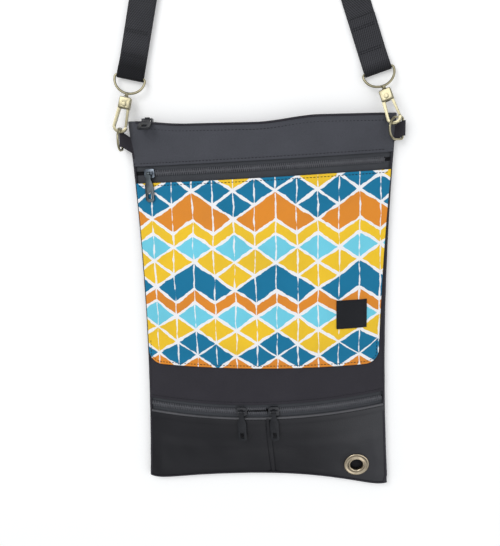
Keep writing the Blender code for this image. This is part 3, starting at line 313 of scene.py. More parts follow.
def front_zip_y(x):
    return FRONT_ZIP_Y + FRONT_ZIP_SKEW * x / WAIST_HALF


def lower_zip_y(x):
    share = x / WAIST_HALF
    return LOWER_ZIP_Y + LOWER_ZIP_SKEW * share - LOWER_ZIP_SAG * (1.0 - share ** 2)


def print_top(x):
    return front_zip_y(x) - PRINT_TOP_GAP


def print_sides(y):
    depth = (print_top(0.0) - y) / PRINT_DEPTH
    left = -half_width(y) + PRINT_SIDE_MARGIN
    right = half_width(y) - PRINT_SIDE_MARGIN - PRINT_SLANT * max(depth, 0.0)
    return left, right


def print_foot(x, left, right):
    inside = min(x - left, right - x)
    level = print_top(0.0) - PRINT_DEPTH
    if inside >= PRINT_CORNER:
        return level
    short = PRINT_CORNER - max(inside, 0.0)
    return level + PRINT_CORNER - math.sqrt(PRINT_CORNER ** 2 - short ** 2)


def print_height(x, y):
    """Outer face of the printed pocket, puffed away from the panel under it."""
    left, right = print_sides(y)
    top_room = ease((print_top(x) - y - PRINT_FLAT_TOP) / PRINT_FLAT_TOP)
    foot_room = ease((y - print_top(0.0) + PRINT_DEPTH) / PRINT_EDGE_RUN)
    side_room = ease(min(x - left, right - x) / PRINT_EDGE_RUN)
    puff = PRINT_PUFF * top_room * foot_room * side_room
    return front_height(x, y) + SEAT + FABRIC + puff


# Shader helpers

def feed(tree, socket, value):
    """Link a wire or socket, or set a number or a colour."""
    if isinstance(value, Wire):
        value = value.socket
    if isinstance(value, bpy.types.NodeSocket):
        tree.links.new(value, socket)
    elif isinstance(value, tuple):
        socket.default_value = (*value, 1.0)
    else:
        socket.default_value = value


class Wire:
    """A shader value; plain arithmetic on it adds Math nodes."""

    def __init__(self, tree, socket):
        self.tree = tree
        self.socket = socket

    def math(self, operation, *values):
        node = self.tree.nodes.new("ShaderNodeMath")
        node.operation = operation
        for index, value in enumerate((self, *values)):
            feed(self.tree, node.inputs[index], value)
        return Wire(self.tree, node.outputs[0])

    def __add__(self, other):
        return self.math("ADD", other)

    def __sub__(self, other):
        return self.math("SUBTRACT", other)

    def __rsub__(self, other):
        return self * -1.0 + other

    def __mul__(self, other):
        return self.math("MULTIPLY", other)

    def __truediv__(self, other):
        return self.math("DIVIDE", other)

    def __mod__(self, other):
        return self.math("FLOORED_MODULO", other)

    def __gt__(self, other):
        return self.math("GREATER_THAN", other)

    def __lt__(self, other):
        return self.math("LESS_THAN", other)

    def __abs__(self):
        return self.math("ABSOLUTE")

    def highest(self, other):
        return self.math("MAXIMUM", other)

    def sine(self, pitch):
        """Sine wave with a crest or a trough at every pitch."""
        return (self * (math.pi / pitch)).math("SINE")

    def spread(self, low, high):
        """A value from 0 to 1 stretched to low and high."""
        return self.math("MULTIPLY_ADD", high - low, low)

    def clamped(self):
        node = self.tree.nodes.new("ShaderNodeClamp")
        feed(self.tree, node.inputs[0], self)
        return Wire(self.tree, node.outputs[0])

    def blend(self, first, second):
        """A colour from first at 0 to second at 1."""
        node = self.tree.nodes.new("ShaderNodeMix")
        node.data_type = "RGBA"
        for index, value in ((0, self), (6, first), (7, second)):
            feed(self.tree, node.inputs[index], value)
        return Wire(self.tree, node.outputs[2])


def split(tree, socket):
    """X, Y and Z of a vector."""
    node = tree.nodes.new("ShaderNodeSeparateXYZ")
    tree.links.new(socket, node.inputs[0])
    return [Wire(tree, output) for output in node.outputs]


class Paint:
    """A material in the making; x and y are the shaded point's place in metres."""

    def __init__(self, name, roughness, metallic=0.0, sheen=0.0, gloss=0.5):
        self.material = bpy.data.materials.new(name)
        self.material.use_nodes = True
        self.tree = self.material.node_tree
        self.inputs = self.tree.nodes["Principled BSDF"].inputs
        self.roughness = roughness
        for label, value in (("Roughness", roughness), ("Metallic", metallic),
                             ("Sheen Weight", sheen), ("Specular IOR Level", gloss)):
            self.inputs[label].default_value = value
        self.place = self.tree.nodes.new("ShaderNodeTexCoord").outputs["Object"]
        self.x, self.y, _ = split(self.tree, self.place)

    def speckle(self, scale, detail=2.0, shift=None):
        """Noise from 0 to 1."""
        place = self.place
        if shift:
            moved = self.tree.nodes.new("ShaderNodeVectorMath")
            moved.inputs[1].default_value = shift
            self.tree.links.new(place, moved.inputs[0])
            place = moved.outputs[0]
        node = self.tree.nodes.new("ShaderNodeTexNoise")
        node.inputs["Scale"].default_value = scale
        node.inputs["Detail"].default_value = detail
        self.tree.links.new(place, node.inputs["Vector"])
        return Wire(self.tree, node.outputs["Fac"])

    def uneven(self, value, less, more):
        """Roughness that varies with a value from 0 to 1."""
        return value.spread(self.roughness - less, self.roughness + more)

    def finish(self, colour, roughness, height, depth, strength):
        """Link the looks, with the surface raised by height times depth."""
        feed(self.tree, self.inputs["Base Color"], colour)
        feed(self.tree, self.inputs["Roughness"], roughness)
        node = self.tree.nodes.new("ShaderNodeBump")
        node.inputs["Strength"].default_value = strength
        node.inputs["Distance"].default_value = depth
        feed(self.tree, node.inputs["Height"], height)
        self.tree.links.new(node.outputs[0], self.inputs["Normal"])
        return self.material


def strap_place(tree):
    """Distances across and along the webbing, in metres."""
    node = tree.nodes.new("ShaderNodeUVMap")
    node.uv_map = "along"
    return split(tree, node.outputs[0])[:2]


def plain_weave(u, v, pitch):
    """Height of a plain weave, from 0 to 1."""
    warp = u.sine(pitch)
    weft = v.sine(pitch)
    return (abs(warp) - abs(weft)) * (warp * weft > 0.0) + abs(weft)


def twill_weave(u, v, pitch):
    """Height of a diagonal rib, crossed by a lower one."""
    return abs(v.sine(pitch)) * 0.35 + abs((v * TWILL_SLOPE + u).sine(pitch))


def cloth_material(name, dark, light, pitch, roughness=0.72, depth=0.12 * MM, twill=False,
                   along=False, folds=()):
    """Woven cloth: a weave in relief, with wear that makes it lighter on its high threads and in
    patches, and painted shade near the folds given.
    """
    paint = Paint(name, roughness, sheen=0.04, gloss=0.15)
    u, v = strap_place(paint.tree) if along else (paint.x, paint.y)
    weave = twill_weave if twill else plain_weave
    height = weave(u, v, pitch)
    grain = paint.speckle(900.0, 1.0)
    wear = (paint.speckle(34.0, 3.0) + grain) * 0.5
    colour = (height * 0.45 + wear * 0.6).blend(dark, light)
    # Painted shade: the colour is darkened near each fold given, where the webbing turns round an eye
    for place_along, reach in folds:
        shade = ((reach - abs(v - place_along)) / (reach * 0.7)).clamped()
        colour = (shade * 0.75).blend(colour, dark)
    return paint.finish(colour, paint.uneven(grain, 0.08, 0.1), height, depth, 0.8)


def leather_material(name, dark, light, sheen_colour):
    """Grained imitation leather with small rounded cells, and a painted sheen that makes it paler
    towards its right.
    """
    paint = Paint(name, 0.42, gloss=0.3)
    cells = paint.tree.nodes.new("ShaderNodeTexVoronoi")
    cells.feature = "SMOOTH_F1"
    cells.inputs["Scale"].default_value = 820.0
    cells.inputs["Smoothness"].default_value = 0.6
    paint.tree.links.new(paint.place, cells.inputs["Vector"])
    patches = paint.speckle(26.0, 3.0)
    height = paint.speckle(1500.0) * 0.4 + cells.outputs["Distance"]
    # Painted sheen: towards the right the leather is blended, in patches, to a paler colour
    side = ((paint.x - SHEEN_FROM) / SHEEN_RUN).clamped() * patches.spread(0.3, 0.9)
    colour = side.blend(patches.blend(dark, light), sheen_colour)
    return paint.finish(colour, paint.uneven(patches, 0.04, 0.12), height, 0.12 * MM, 0.7)


def metal_material(name, dark, light, roughness):
    """Plated metal with faint handling marks."""
    paint = Paint(name, roughness, 1.0)
    marks = paint.speckle(240.0, 4.0)
    return paint.finish(marks.blend(dark, light), paint.uneven(marks, 0.06, 0.1),
                        paint.speckle(1400.0), 0.02 * MM, 0.6)


def coated_material(name, dark, light, roughness, gloss=0.3):
    """Dark enamel or nylon with a little wear."""
    paint = Paint(name, roughness, gloss=gloss)
    marks = paint.speckle(300.0, 3.0)
    return paint.finish(marks.blend(dark, light), paint.uneven(marks, 0.05, 0.12), marks,
                        0.03 * MM, 0.5)


def zigzag(steps, period):
    """Distance to the middle of a repeat, from 0 at its middle to half the period."""
    return abs(steps % period - period / 2)


def print_material(name):
    """Printed cloth: chevrons and diamonds in four colours, parted by brushed white lines."""
    teal = (0.014, 0.205, 0.385)
    orange = (0.860, 0.300, 0.035)
    yellow = (1.0, 0.640, 0.035)
    cyan = (0.200, 0.720, 0.900)
    white = (0.98, 0.98, 1.0)
    ink = (0.0, 0.05, 0.09)
    paint = Paint(name, 0.68, gloss=0.12)

    x = paint.x + paint.speckle(40.0).spread(-2.0 * MM, 2.0 * MM)
    y = paint.y + paint.speckle(40.0, shift=(0.37, 0.61, 0.13)).spread(-2.3 * MM, 2.3 * MM)
    steps = (x - PRINT_PEAK_X) / COLUMN
    down = (PRINT_PEAK_Y - y) / ROW
    down_in = down % ROWS_IN_BAND
    turn = (down / ROWS_IN_BAND).math("FLOOR")
    long_wave = zigzag(steps, 4.0) * 0.5
    short_wave = zigzag(steps, 2.0) * 0.5
    chevron_edge = 1.0 - long_wave
    stripe_edge = 1.5 - short_wave
    diamond_edge = 2.0 - short_wave
    rest_edge = short_wave + 2.0

    first = turn < 0.5
    before = turn < -0.5
    tip = (long_wave < 0.5).blend(teal, yellow)
    colour = (down_in > chevron_edge).blend(first.blend(yellow, teal), first.blend(teal, orange))
    colour = (down_in > stripe_edge).blend(colour, first.blend(orange, yellow))
    colour = (down_in > diamond_edge).blend(colour, before.blend(cyan, tip))
    colour = (down_in > rest_edge).blend(colour, before.blend(yellow, teal))
    colour = paint.speckle(26.0, 4.0).spread(-0.12, 0.2).blend(colour, ink)

    brush = paint.speckle(120.0, 3.0)
    width = brush.spread(-0.3 * MM, 3.2 * MM)
    slant_share = math.cos(math.atan2(0.5 * ROW, COLUMN)) * ROW

    def line(edge, half):
        gap = abs(down_in - edge) * slant_share
        return ((half - gap) / (0.35 * MM)).clamped()
    mask = line(short_wave + 0.5, width * 0.6) * (turn > 1.5)
    for edge in (chevron_edge, 0.5 - short_wave, stripe_edge, diamond_edge, rest_edge):
        mask = mask.highest(line(edge, width))
    upright = zigzag(steps + 0.5, 1.0) * COLUMN
    thin = brush.spread(-0.9 * MM, 2.2 * MM)
    mask = mask.highest(((thin - upright) / (0.3 * MM)).clamped())
    weave = plain_weave(paint.x, paint.y, 0.45 * MM)
    return paint.finish(mask.blend(colour, white), paint.roughness, weave, 0.08 * MM, 0.6)


def make_materials():
    return {
        "fabric": cloth_material("black_cloth", (0.014, 0.013, 0.017), (0.052, 0.049, 0.060),
                                 0.6 * MM),
        "band": cloth_material("band_cloth", (0.034, 0.036, 0.043), (0.098, 0.101, 0.120),
                               0.6 * MM, roughness=0.62),
        "lining": cloth_material("lining_cloth", (0.010, 0.010, 0.012), (0.025, 0.025, 0.029),
                                 0.4 * MM, roughness=0.6),
        "tape": cloth_material("tape_cloth", (0.024, 0.026, 0.031), (0.076, 0.080, 0.090),
                               0.8 * MM, twill=True),
        "webbing": cloth_material("webbing_cloth", (0.001, 0.001, 0.002), (0.064, 0.065, 0.073),
                                  2.1 * MM, depth=0.6 * MM, twill=True, along=True,
                                  folds=STRAP_FOLD_SHADE),
        "leather": leather_material("grained_leather_look", (0.007, 0.007, 0.009),
                                    (0.018, 0.018, 0.022), (0.062, 0.063, 0.071)),
        # Paler copy of the leather: a painted highlight for the pocket's folded top edge
        "leather_edge": leather_material("leather_edge_look", (0.045, 0.045, 0.050),
                                         (0.120, 0.120, 0.130), (0.110, 0.110, 0.120)),
        "print": print_material("printed_cloth"),
        "label": cloth_material("label_cloth", (0.006, 0.007, 0.009), (0.024, 0.025, 0.030),
                                0.3 * MM),
        "thread": coated_material("black_thread", (0.008, 0.008, 0.010), (0.030, 0.031, 0.036),
                                  0.6, gloss=0.15),
        "coil": coated_material("coil_nylon", (0.085, 0.087, 0.098), (0.180, 0.184, 0.205), 0.38),
        "slider": coated_material("slider_enamel", (0.008, 0.009, 0.012), (0.030, 0.031, 0.038),
                                  0.22, gloss=0.5),
        "pull": metal_material("pull_nickel", (0.100, 0.115, 0.125), (0.190, 0.220, 0.235), 0.36),
        "pull_black": coated_material("pull_enamel", (0.007, 0.008, 0.010), (0.024, 0.025, 0.030),
                                      0.4, gloss=0.25),
        "slider_grey": metal_material("slider_nickel", (0.120, 0.140, 0.165),
                                      (0.260, 0.300, 0.350), 0.3),
        "gold": metal_material("pale_gold_plate", (0.250, 0.222, 0.130), (0.440, 0.405, 0.285),
                               0.3),
        "brass": metal_material("aged_brass", (0.300, 0.235, 0.165), (0.620, 0.540, 0.400), 0.22),
    }


# Mesh helpers

# Flat width, length and area of each sheet, by piece name
CUTS = {}


def measure_cut(name, places, columns, rows):
    wide = columns + 1
    across = max(sum((places[row * wide + column + 1] - places[row * wide + column]).length
                     for column in range(columns)) for row in range(rows + 1))
    along = max(sum((places[(row + 1) * wide + column] - places[row * wide + column]).length
                    for row in range(rows)) for column in range(wide))
    area = 0.0
    for row in range(rows):
        for column in range(columns):
            start = row * wide + column
            first = places[start + wide + 1] - places[start]
            second = places[start + wide] - places[start + 1]
            area += first.cross(second).length / 2
    CUTS[name] = (across, along, min(area, across * along))


def finish_piece(thing, material, slot, body, nodes):
    thing.data.materials.clear()
    thing.data.materials.append(material)
    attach(thing, body)
    if nodes:
        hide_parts(*nodes)
    return thing


def new_object(name, mesh):
    thing = bpy.data.objects.new(name, mesh)
    bpy.context.scene.collection.objects.link(thing)
    return thing


def shell(name, point, columns, rows, thickness, offset=-1.0):
    """A closed sheet laid on a surface; point maps column and row numbers to a place."""
    mesh = bpy.data.meshes.new(name)
    places = [Vector(point(column, row)) for row in range(rows + 1)
              for column in range(columns + 1)]
    measure_cut(name, places, columns, rows)
    wide = columns + 1
    faces = []
    for row in range(rows):
        for column in range(columns):
            start = row * wide + column
            faces.append((start, start + 1, start + wide + 1, start + wide))
    mesh.from_pydata([tuple(place) for place in places], [], faces)
    mesh.shade_smooth()
    thing = new_object(name, mesh)
    solid = thing.modifiers.new("thickness", "SOLIDIFY")
    solid.thickness = thickness
    solid.offset = offset
    solid.use_even_offset = True
    solid.use_quality_normals = True
    return thing


def sine_shares(count):
    """Shares from -1 to 1, closer together at the ends."""
    return [math.sin(math.pi * (index / count - 0.5)) for index in range(count + 1)]


def row_shares(length, low_folded, high_folded, step):
    """Row shares from 0 to 1, with close rows beside a folded edge."""
    low = [mark * MM for mark in HEM_ROWS] if low_folded else [0.0]
    high = [length - mark * MM for mark in reversed(HEM_ROWS)] if high_folded else [length]
    room = high[0] - low[-1]
    count = max(int(round(room / step)), 1)
    middle = [low[-1] + room * index / count for index in range(1, count)]
    return [place / length for place in low + middle + high]


def hem_lift(distance):
    """A folded hem stands a little proud and is drawn in along its stitches."""
    fold = HEM_RISE * (1.0 - ease((distance - HEM) / (2 * MM)))
    roll = HEM_ROLL * (1.0 - min(distance / HEM_ROLL_RUN, 1.0)) ** 2
    groove = GROOVE * math.exp(-((distance - STITCH_IN) / GROOVE_HALF) ** 2)
    return fold - roll - groove


def ripple(x, y, scale, seed):
    """Smooth unevenness of soft cloth, from 0 to 1."""
    return 0.5 + 0.5 * noise.noise(Vector((x * scale, y * scale, seed)))


def panel(name, low, high, height, thickness, folds, step, columns, margin=0.0, lift=None):
    """A cloth layer from seam to seam; folds says which of its low and high edges is folded."""
    length = high(0.0) - low(0.0)
    rows = row_shares(length, folds[0], folds[1], step)
    shares = sine_shares(columns)

    def point(column, row):
        along = rows[row]
        share = shares[column]
        middle = low(0.0) + length * along
        x = share * half_width(middle)
        y = low(x) + (high(x) - low(x)) * along
        x = share * (half_width(y) - margin)
        z = height(x, y)
        from_low = y - low(x)
        from_high = high(x) - y
        if folds[0]:
            z += hem_lift(from_low)
        if folds[1]:
            z += hem_lift(from_high)
        if lift:
            z += lift(x, y, from_low, from_high)
        return (x, y, z)
    return shell(name, point, columns, len(rows) - 1, thickness)


def top_edge(x):
    right = RIGHT_RISE * ease((x + 6 * MM) / RIGHT_RISE_RUN)
    return HALF_LENGTH + right + LEFT_RISE * ease((-x - LEFT_RISE_START) / LEFT_RISE_RUN)


def band_foot(x):
    return front_zip_y(x) + ZIP_OPENING


def centre_foot(x):
    return lower_zip_y(x) + ZIP_OPENING


def pocket_top(x):
    return lower_zip_y(x) - ZIP_OPENING


def edge_quiet(x, y):
    """0 at the side seams and 1 in from them."""
    return ease((half_width(y) - abs(x)) / SIDE_QUIET)


def band_lift(x, y, from_low, from_high):
    wave = ripple(x, y * 1.4, 22.0, 2.0) * BAND_WAVE + ripple(x, y, 70.0, 5.0) * FINE_WAVE
    quiet = edge_quiet(x, y) * ease(from_low / SEAM_QUIET) * ease(from_high / MOUTH_QUIET)
    groove = -MOUTH_GROOVE * math.exp(-((from_high - MOUTH_STITCH) / (0.7 * MM)) ** 2)
    return wave * quiet + groove


def centre_lift(x, y, from_low, from_high):
    wave = ripple(x, y, 30.0, 8.0) * CENTRE_WAVE
    return wave * edge_quiet(x, y) * ease(from_low / SEAM_QUIET) * ease((CENTRE_SMOOTH_Y - y) / (8 * MM))


def divider_x(y):
    """The stitched divider in the lower pocket, which leans a little."""
    return 1.5 * MM + 5 * MM * (lower_zip_y(0.0) - y) / (80 * MM)


def pocket_lift(x, y, from_low, from_high):
    folds = ripple(x * 1.6 + y * 0.5, y * 0.55, 28.0, 11.0)
    wave = folds * POCKET_WAVE + ripple(x, y, 70.0, 13.0) * FINE_WAVE
    eyelet = ease((math.hypot(x - EYELET_X, y - EYELET_Y) - 14 * MM) / (10 * MM))
    quiet = edge_quiet(x, y) * eyelet * ease(from_low / SEAM_QUIET)
    quiet *= ease((from_high - PULLS_REACH) / SEAM_QUIET)
    across = abs(x - divider_x(y))
    valley = -DIVIDER_VALLEY * math.exp(-(across / (5 * MM)) ** 2)
    return wave * quiet + valley * ease(from_high / (9 * MM))


def pocket_face(x, y):
    return front_height(x, y) + pocket_lift(x, y, y - foot_edge(x), pocket_top(x) - y)


def make_panels(materials):
    def back_lining_height(x, y):
        return back_height(x, y) + SEAT + LINING

    def lining_top(x):
        return HALF_LENGTH - LINING_MARGIN

    def lining_foot(x):
        return foot_edge(x) + SEAT

    plain = (False, False)
    for name, low, high, height, thickness, folds, step, columns, lift, look, slot, node in (
            ("back_cloth", foot_edge, top_edge, back_height, FABRIC, plain, 12, 48, None,
             "fabric", "black_fabric", "back_panel"),
            ("back_lining_cloth", lining_foot, lining_top, back_lining_height, LINING, plain,
             16, 28, None, "lining", "lining_fabric", "back_lining"),
            ("front_lining_cloth", lining_foot, lining_top, lining_height, LINING, plain,
             9, 40, None, "lining", "lining_fabric", "front_lining"),
            ("top_band_cloth", band_foot, top_edge, front_height, FABRIC, (True, False),
             2.2, 96, band_lift, "band", "band_fabric", "front_top_band"),
            ("centre_cloth", centre_foot, print_top, front_height, FABRIC, (True, False),
             5, 96, centre_lift, "fabric", "black_fabric", "centre_panel"),
            ("lower_pocket_leather", foot_edge, pocket_top, front_height, FABRIC, (False, True),
             2.4, 110, pocket_lift, "leather", "grained_leather", "lower_pocket")):
        piece = panel(name, low, high, height, thickness, folds, step * MM, columns, lift=lift)
        finish_piece(piece, materials[look], slot, BAG, [node])
    cut_hole(piece)


def axes_matrix(across, along, up, place):
    """Matrix of a place with the three directions given."""
    matrix = Matrix((across, along, up)).transposed().to_4x4()
    matrix.translation = place
    return matrix


def shape_mesh(shape, name):
    """Turn an edited shape into a smooth mesh."""
    mesh = bpy.data.meshes.new(name)
    shape.to_mesh(mesh)
    shape.free()
    mesh.shade_smooth()
    return mesh


def surface_frame(x, y):
    """Matrix at a place on the front, with +Z square to the outer face."""
    step = 4 * MM
    across = Vector((2 * step, 0, front_height(x + step, y) - front_height(x - step, y)))
    along = Vector((0, 2 * step, front_height(x, y + step) - front_height(x, y - step)))
    normal = across.cross(along).normalized()
    across = along.cross(normal).normalized()
    return axes_matrix(across, normal.cross(across), normal, (x, y, front_height(x, y)))


def apply_modifiers(thing):
    """Replace an object's mesh by its evaluated one."""
    bpy.context.view_layer.update()
    evaluated = thing.evaluated_get(bpy.context.evaluated_depsgraph_get())
    mesh = bpy.data.meshes.new_from_object(evaluated)
    thing.modifiers.clear()
    if thing.type == "MESH":
        thing.data = mesh
    return mesh


def cut_hole(pocket):
    """Cut the eyelet's hole through the leather."""
    shape = bmesh.new()
    bmesh.ops.create_cone(shape, cap_ends=True, segments=40, radius1=EYELET_HOLE,
                          radius2=EYELET_HOLE, depth=12 * MM)
    cutter = new_object("hole", shape_mesh(shape, "hole"))
    cutter.matrix_world = surface_frame(EYELET_X, EYELET_Y)
    boolean = pocket.modifiers.new("hole", "BOOLEAN")
    boolean.operation = "DIFFERENCE"
    boolean.object = cutter
    apply_modifiers(pocket)
    bpy.data.objects.remove(cutter)


def print_lift(x, y, from_low, from_high, from_side):
    """Hem, stitch line and small puckers of the printed pocket."""
    inside = min(from_low, from_high, from_side)
    lift = hem_lift(inside)
    pucker = (ripple(x * 3.0, y * 0.6, 60.0, 21.0) - 0.5) * PRINT_PUCKER
    lift += pucker * math.exp(-inside / (14 * MM)) * ease(inside / (5 * MM))
    wave = (ripple(x, y, 22.0, 17.0) - 0.3) * PRINT_WAVE
    lift += wave * ease((inside - 6 * MM) / (24 * MM))
    return lift


def print_point(share, along):
    """Place on the printed pocket, without its lift, and its distances from the edges."""
    middle = print_top(0.0) - PRINT_DEPTH * (1.0 - along)
    left, right = print_sides(middle)
    x = left + (right - left) * share
    foot = print_foot(x, left, right)
    y = foot + (print_top(x) - foot) * along
    left, right = print_sides(y)
    x = left + (right - left) * share
    return x, y, y - foot, print_top(x) - y, min(x - left, right - x)


def print_place(share, along):
    x, y, from_low, from_high, from_side = print_point(share, along)
    return (x, y, print_height(x, y) + print_lift(x, y, from_low, from_high, from_side))


def make_print(materials):
    rows = row_shares(PRINT_DEPTH, True, True, 2.4 * MM)
    width = 2 * (WAIST_HALF - PRINT_SIDE_MARGIN)
    columns = row_shares(width, True, True, 3.0 * MM)

    def point(column, row):
        return print_place(columns[column], rows[row])
    pocket = shell("printed_pocket_cloth", point, len(columns) - 1, len(rows) - 1, FABRIC)
    finish_piece(pocket, materials["print"], "printed_fabric", BAG, ["printed_pocket"])


def label_point(share, along):
    x = LABEL_X + LABEL_WIDTH * (share - 0.5)
    y = LABEL_Y + LABEL_HEIGHT * (along - 0.5)
    left, right = print_sides(y)
    over = print_lift(x, y, PRINT_DEPTH / 2, PRINT_DEPTH / 2, right - x)
    return (x, y, print_height(x, y) + max(over, 0.0) + SEAT + LABEL_THICKNESS)


def make_label(materials):
    count = 16

    def point(column, row):
        return label_point(column / count, row / count)
    label = shell("label_cloth", point, count, count, LABEL_THICKNESS)
    finish_piece(label, materials["label"], "label_weave", BAG, ["label"])


def stitches(name, runs, material, slot, pitch=STITCH_PITCH, length=STITCH_LENGTH,
             thread=THREAD):
    """Short threads along runs of (place, outward) samples."""
    shape = bmesh.new()
    for run in runs:
        travelled = 0.0
        due = pitch * 0.3
        for index in range(1, len(run)):
            (start, outward), (end, _) = run[index - 1], run[index]
            along = end - start
            reach = along.length
            if reach < 1e-9:
                continue
            along /= reach
            while due <= travelled + reach:
                middle = start + along * (due - travelled) + outward * thread * 0.5
                add_stitch(shape, middle, along, outward, length, thread)
                due += pitch
            travelled += reach
    finish_piece(new_object(name, shape_mesh(shape, name)), material, slot, BAG, [])


def join_rings(shape, rings, closed):
    """Faces between neighbouring rings; the ends are joined if closed and else filled."""
    for first, second in zip(rings, rings[1:] + rings[:1] if closed else rings[1:]):
        count = len(first)
        for corner in range(count):
            after = (corner + 1) % count
            shape.faces.new((first[corner], first[after], second[after], second[corner]))
    if not closed:
        shape.faces.new(tuple(reversed(rings[0])))
        shape.faces.new(tuple(rings[-1]))


def add_stitch(shape, middle, along, outward, length, thread):
    side = along.cross(outward).normalized()
    rings = []
    for share, size, level in ((-0.5, 0.35, -0.9), (-0.25, 1.0, 0.2), (0.25, 1.0, 0.2),
                               (0.5, 0.35, -0.9)):
        centre = middle + along * (length * share) + outward * (thread * level)
        ring = []
        for corner in range(6):
            angle = math.pi * corner / 3
            offset = side * math.cos(angle) + outward * (0.8 * math.sin(angle))
            ring.append(shape.verts.new(centre + offset * thread * size))
        rings.append(ring)
    join_rings(shape, rings, False)


def surface_run(line, inset, half, height, count=160):
    """Samples along y = line(x) + inset on a surface, from -half to half."""
    run = []
    step = 1 * MM
    for index in range(count + 1):
        x = -half + 2 * half * index / count
        y = line(x) + inset
        slope_x = (height(x + step, y) - height(x - step, y)) / (2 * step)
        slope_y = (height(x, y + step) - height(x, y - step)) / (2 * step)
        outward = Vector((-slope_x, -slope_y, 1)).normalized()
        run.append((Vector((x, y, height(x, y))), outward))
    return run


def make_stitching(materials):
    thread = materials["thread"]
    inner = WAIST_HALF - 2 * MM

    def on_hem(x, y):
        return front_height(x, y) + hem_lift(STITCH_IN)

    def on_mouth(x, y):
        return front_height(x, y) + band_lift(x, y, 20 * MM, top_edge(x) - y)

    runs = [surface_run(line, inset, inner, height) for line, inset, height in (
        (band_foot, STITCH_IN, on_hem), (centre_foot, STITCH_IN, on_hem),
        (pocket_top, -STITCH_IN, on_hem), (top_edge, -MOUTH_STITCH, on_mouth))]
    stitches("panel_stitches", runs, thread, "zip_tape")

    share_in = STITCH_IN / (2 * WAIST_HALF)
    along_in = STITCH_IN / PRINT_DEPTH
    across = [share_in + (1.0 - 2 * share_in) * index / 90 for index in range(91)]
    corner = [along_in + 0.09 * index / 12 for index in range(13)]
    foot = [(1.0 - share_in, along) for along in reversed(corner)]
    foot += [(share, along_in) for share in reversed(across[:-1])]
    foot += [(share_in, along) for along in corner[1:]]
    top = [(share, 1.0 - along_in) for share in across]
    runs = [[(Vector(print_place(*spot)), UP) for spot in run] for run in (foot, top)]
    stitches("print_stitches", runs, thread, "zip_tape")

    runs = []
    for side in (-DIVIDER_STITCH, DIVIDER_STITCH):
        run = []
        for index in range(41):
            y = foot_edge(0.0) + 2 * MM + (pocket_top(0.0) - foot_edge(0.0) - 5 * MM) * index / 40
            x = divider_x(y) + side
            run.append((Vector((x, y, pocket_face(x, y))), UP))
        runs.append(run)
    stitches("divider_stitches", runs, thread, "zip_tape")

    low = LABEL_STITCH / LABEL_WIDTH
    high = 1 - low
    path = [(low, low), (high, low), (high, high), (low, high), (low, low)]
    runs = [[(Vector(label_point(a + (c - a) * i / 12, b + (d - b) * i / 12)), UP)
             for i in range(13)] for (a, b), (c, d) in zip(path, path[1:])]
    stitches("label_stitches", runs, thread, "zip_tape", pitch=1.9 * MM, length=1.5 * MM,
             thread=0.2 * MM)


def make_edge_seam(materials):
    """The turned seam that closes the sides and foot between the back and the front."""
    ring = 10
    steps = 90
    left_top = top_edge(-WAIST_HALF)
    right_top = top_edge(WAIST_HALF)
    path = []
    for index in range(steps + 1):
        y = left_top - 0.5 * MM - (left_top + HALF_LENGTH - 6 * MM) * index / steps
        path.append((-half_width(y), y))
    for index in range(1, steps):
        x = (2 * index / steps - 1) * half_width(-HALF_LENGTH)
        path.append((x, foot_edge(x)))
    for index in range(steps + 1):
        y = -HALF_LENGTH + 5.5 * MM + (right_top + HALF_LENGTH - 6 * MM) * index / steps
        path.append((half_width(y), y))
    middle = (SEAM_HEIGHT + FABRIC) / 2 + 0.4 * MM
    rise = (SEAM_HEIGHT - FABRIC) / 2 + 0.2 * MM
    last = len(path) - 1

    def point(column, row):
        x, y = path[column]
        along = Vector(path[min(column + 1, last)]) - Vector(path[max(column - 1, 0)])
        along.normalize()
        angle = math.pi * (0.5 + row / ring)
        out = math.cos(angle) * SEAM_ROLL_DEPTH * (1.0 + 0.12 * ripple(x, y, 90.0, 31.0))
        inward = SEAM_ROLL_DEPTH * 0.8 + out
        return (x - along.y * inward, y + along.x * inward, middle + rise * math.sin(angle))
    seam = shell("edge_seam", point, last, ring, 0.5 * MM, 0.0)
    finish_piece(seam, materials["fabric"], "black_fabric", BAG, [])


def make_edge_rolls(materials):
    """Rounded folds along the free edges of the panels beside the zips; the leather pocket's fold wears
    a paler copy of the leather as a painted highlight.
    """
    inner = WAIST_HALF - 0.5 * MM
    for name, line, inset, radius, look, slot in (
            ("pocket_edge_roll", pocket_top, -1.0 * MM, 1.2 * MM, "leather_edge",
             "grained_leather"),
            ("centre_edge_roll", centre_foot, 0.7 * MM, 0.8 * MM, "fabric", "black_fabric"),
            ("mouth_edge_roll", top_edge, -0.9 * MM, 1.1 * MM, "fabric", "black_fabric"),
            ("band_edge_roll", band_foot, 0.7 * MM, 0.8 * MM, "band", "band_fabric")):
        run = [place for place, _ in surface_run(line, inset, inner, front_height, 120)]
        piece = curve_piece(name, [run], radius, 3)
        finish_piece(piece, materials[look], slot, BAG, [])


def make_divider(materials):
    """The stitched strip that parts the lower pocket."""
    half = DIVIDER_WIDTH / 2
    rows = 40
    columns = 8

    def point(column, row):
        y = foot_edge(0.0) + 1.5 * MM
        y += (pocket_top(0.0) - foot_edge(0.0) - 2 * MM) * row / rows
        across = half * (2 * column / columns - 1)
        x = divider_x(y) + across
        crown = math.sqrt(max(1.0 - (across / (half * 1.02)) ** 2, 0.0))
        return (x, y, pocket_face(x, y) + DIVIDER_SEAT + DIVIDER_CROWN * crown)
    piece = shell("divider_strip", point, columns, rows, 0.5 * MM)
    finish_piece(piece, materials["leather"], "grained_leather", BAG, [])


def front_place(line):
    """Places under the front along a zip's line, by x, distance across and height."""
    def place(x, across, up):
        y = line(x) - across
        return Vector((x, y, front_height(x, y) - TAPE_MIDDLE + up))
    return place


def top_place(x, across, up):
    return Vector((x, TOP_ZIP_Y + up, TOP_ZIP_LEVEL + across))


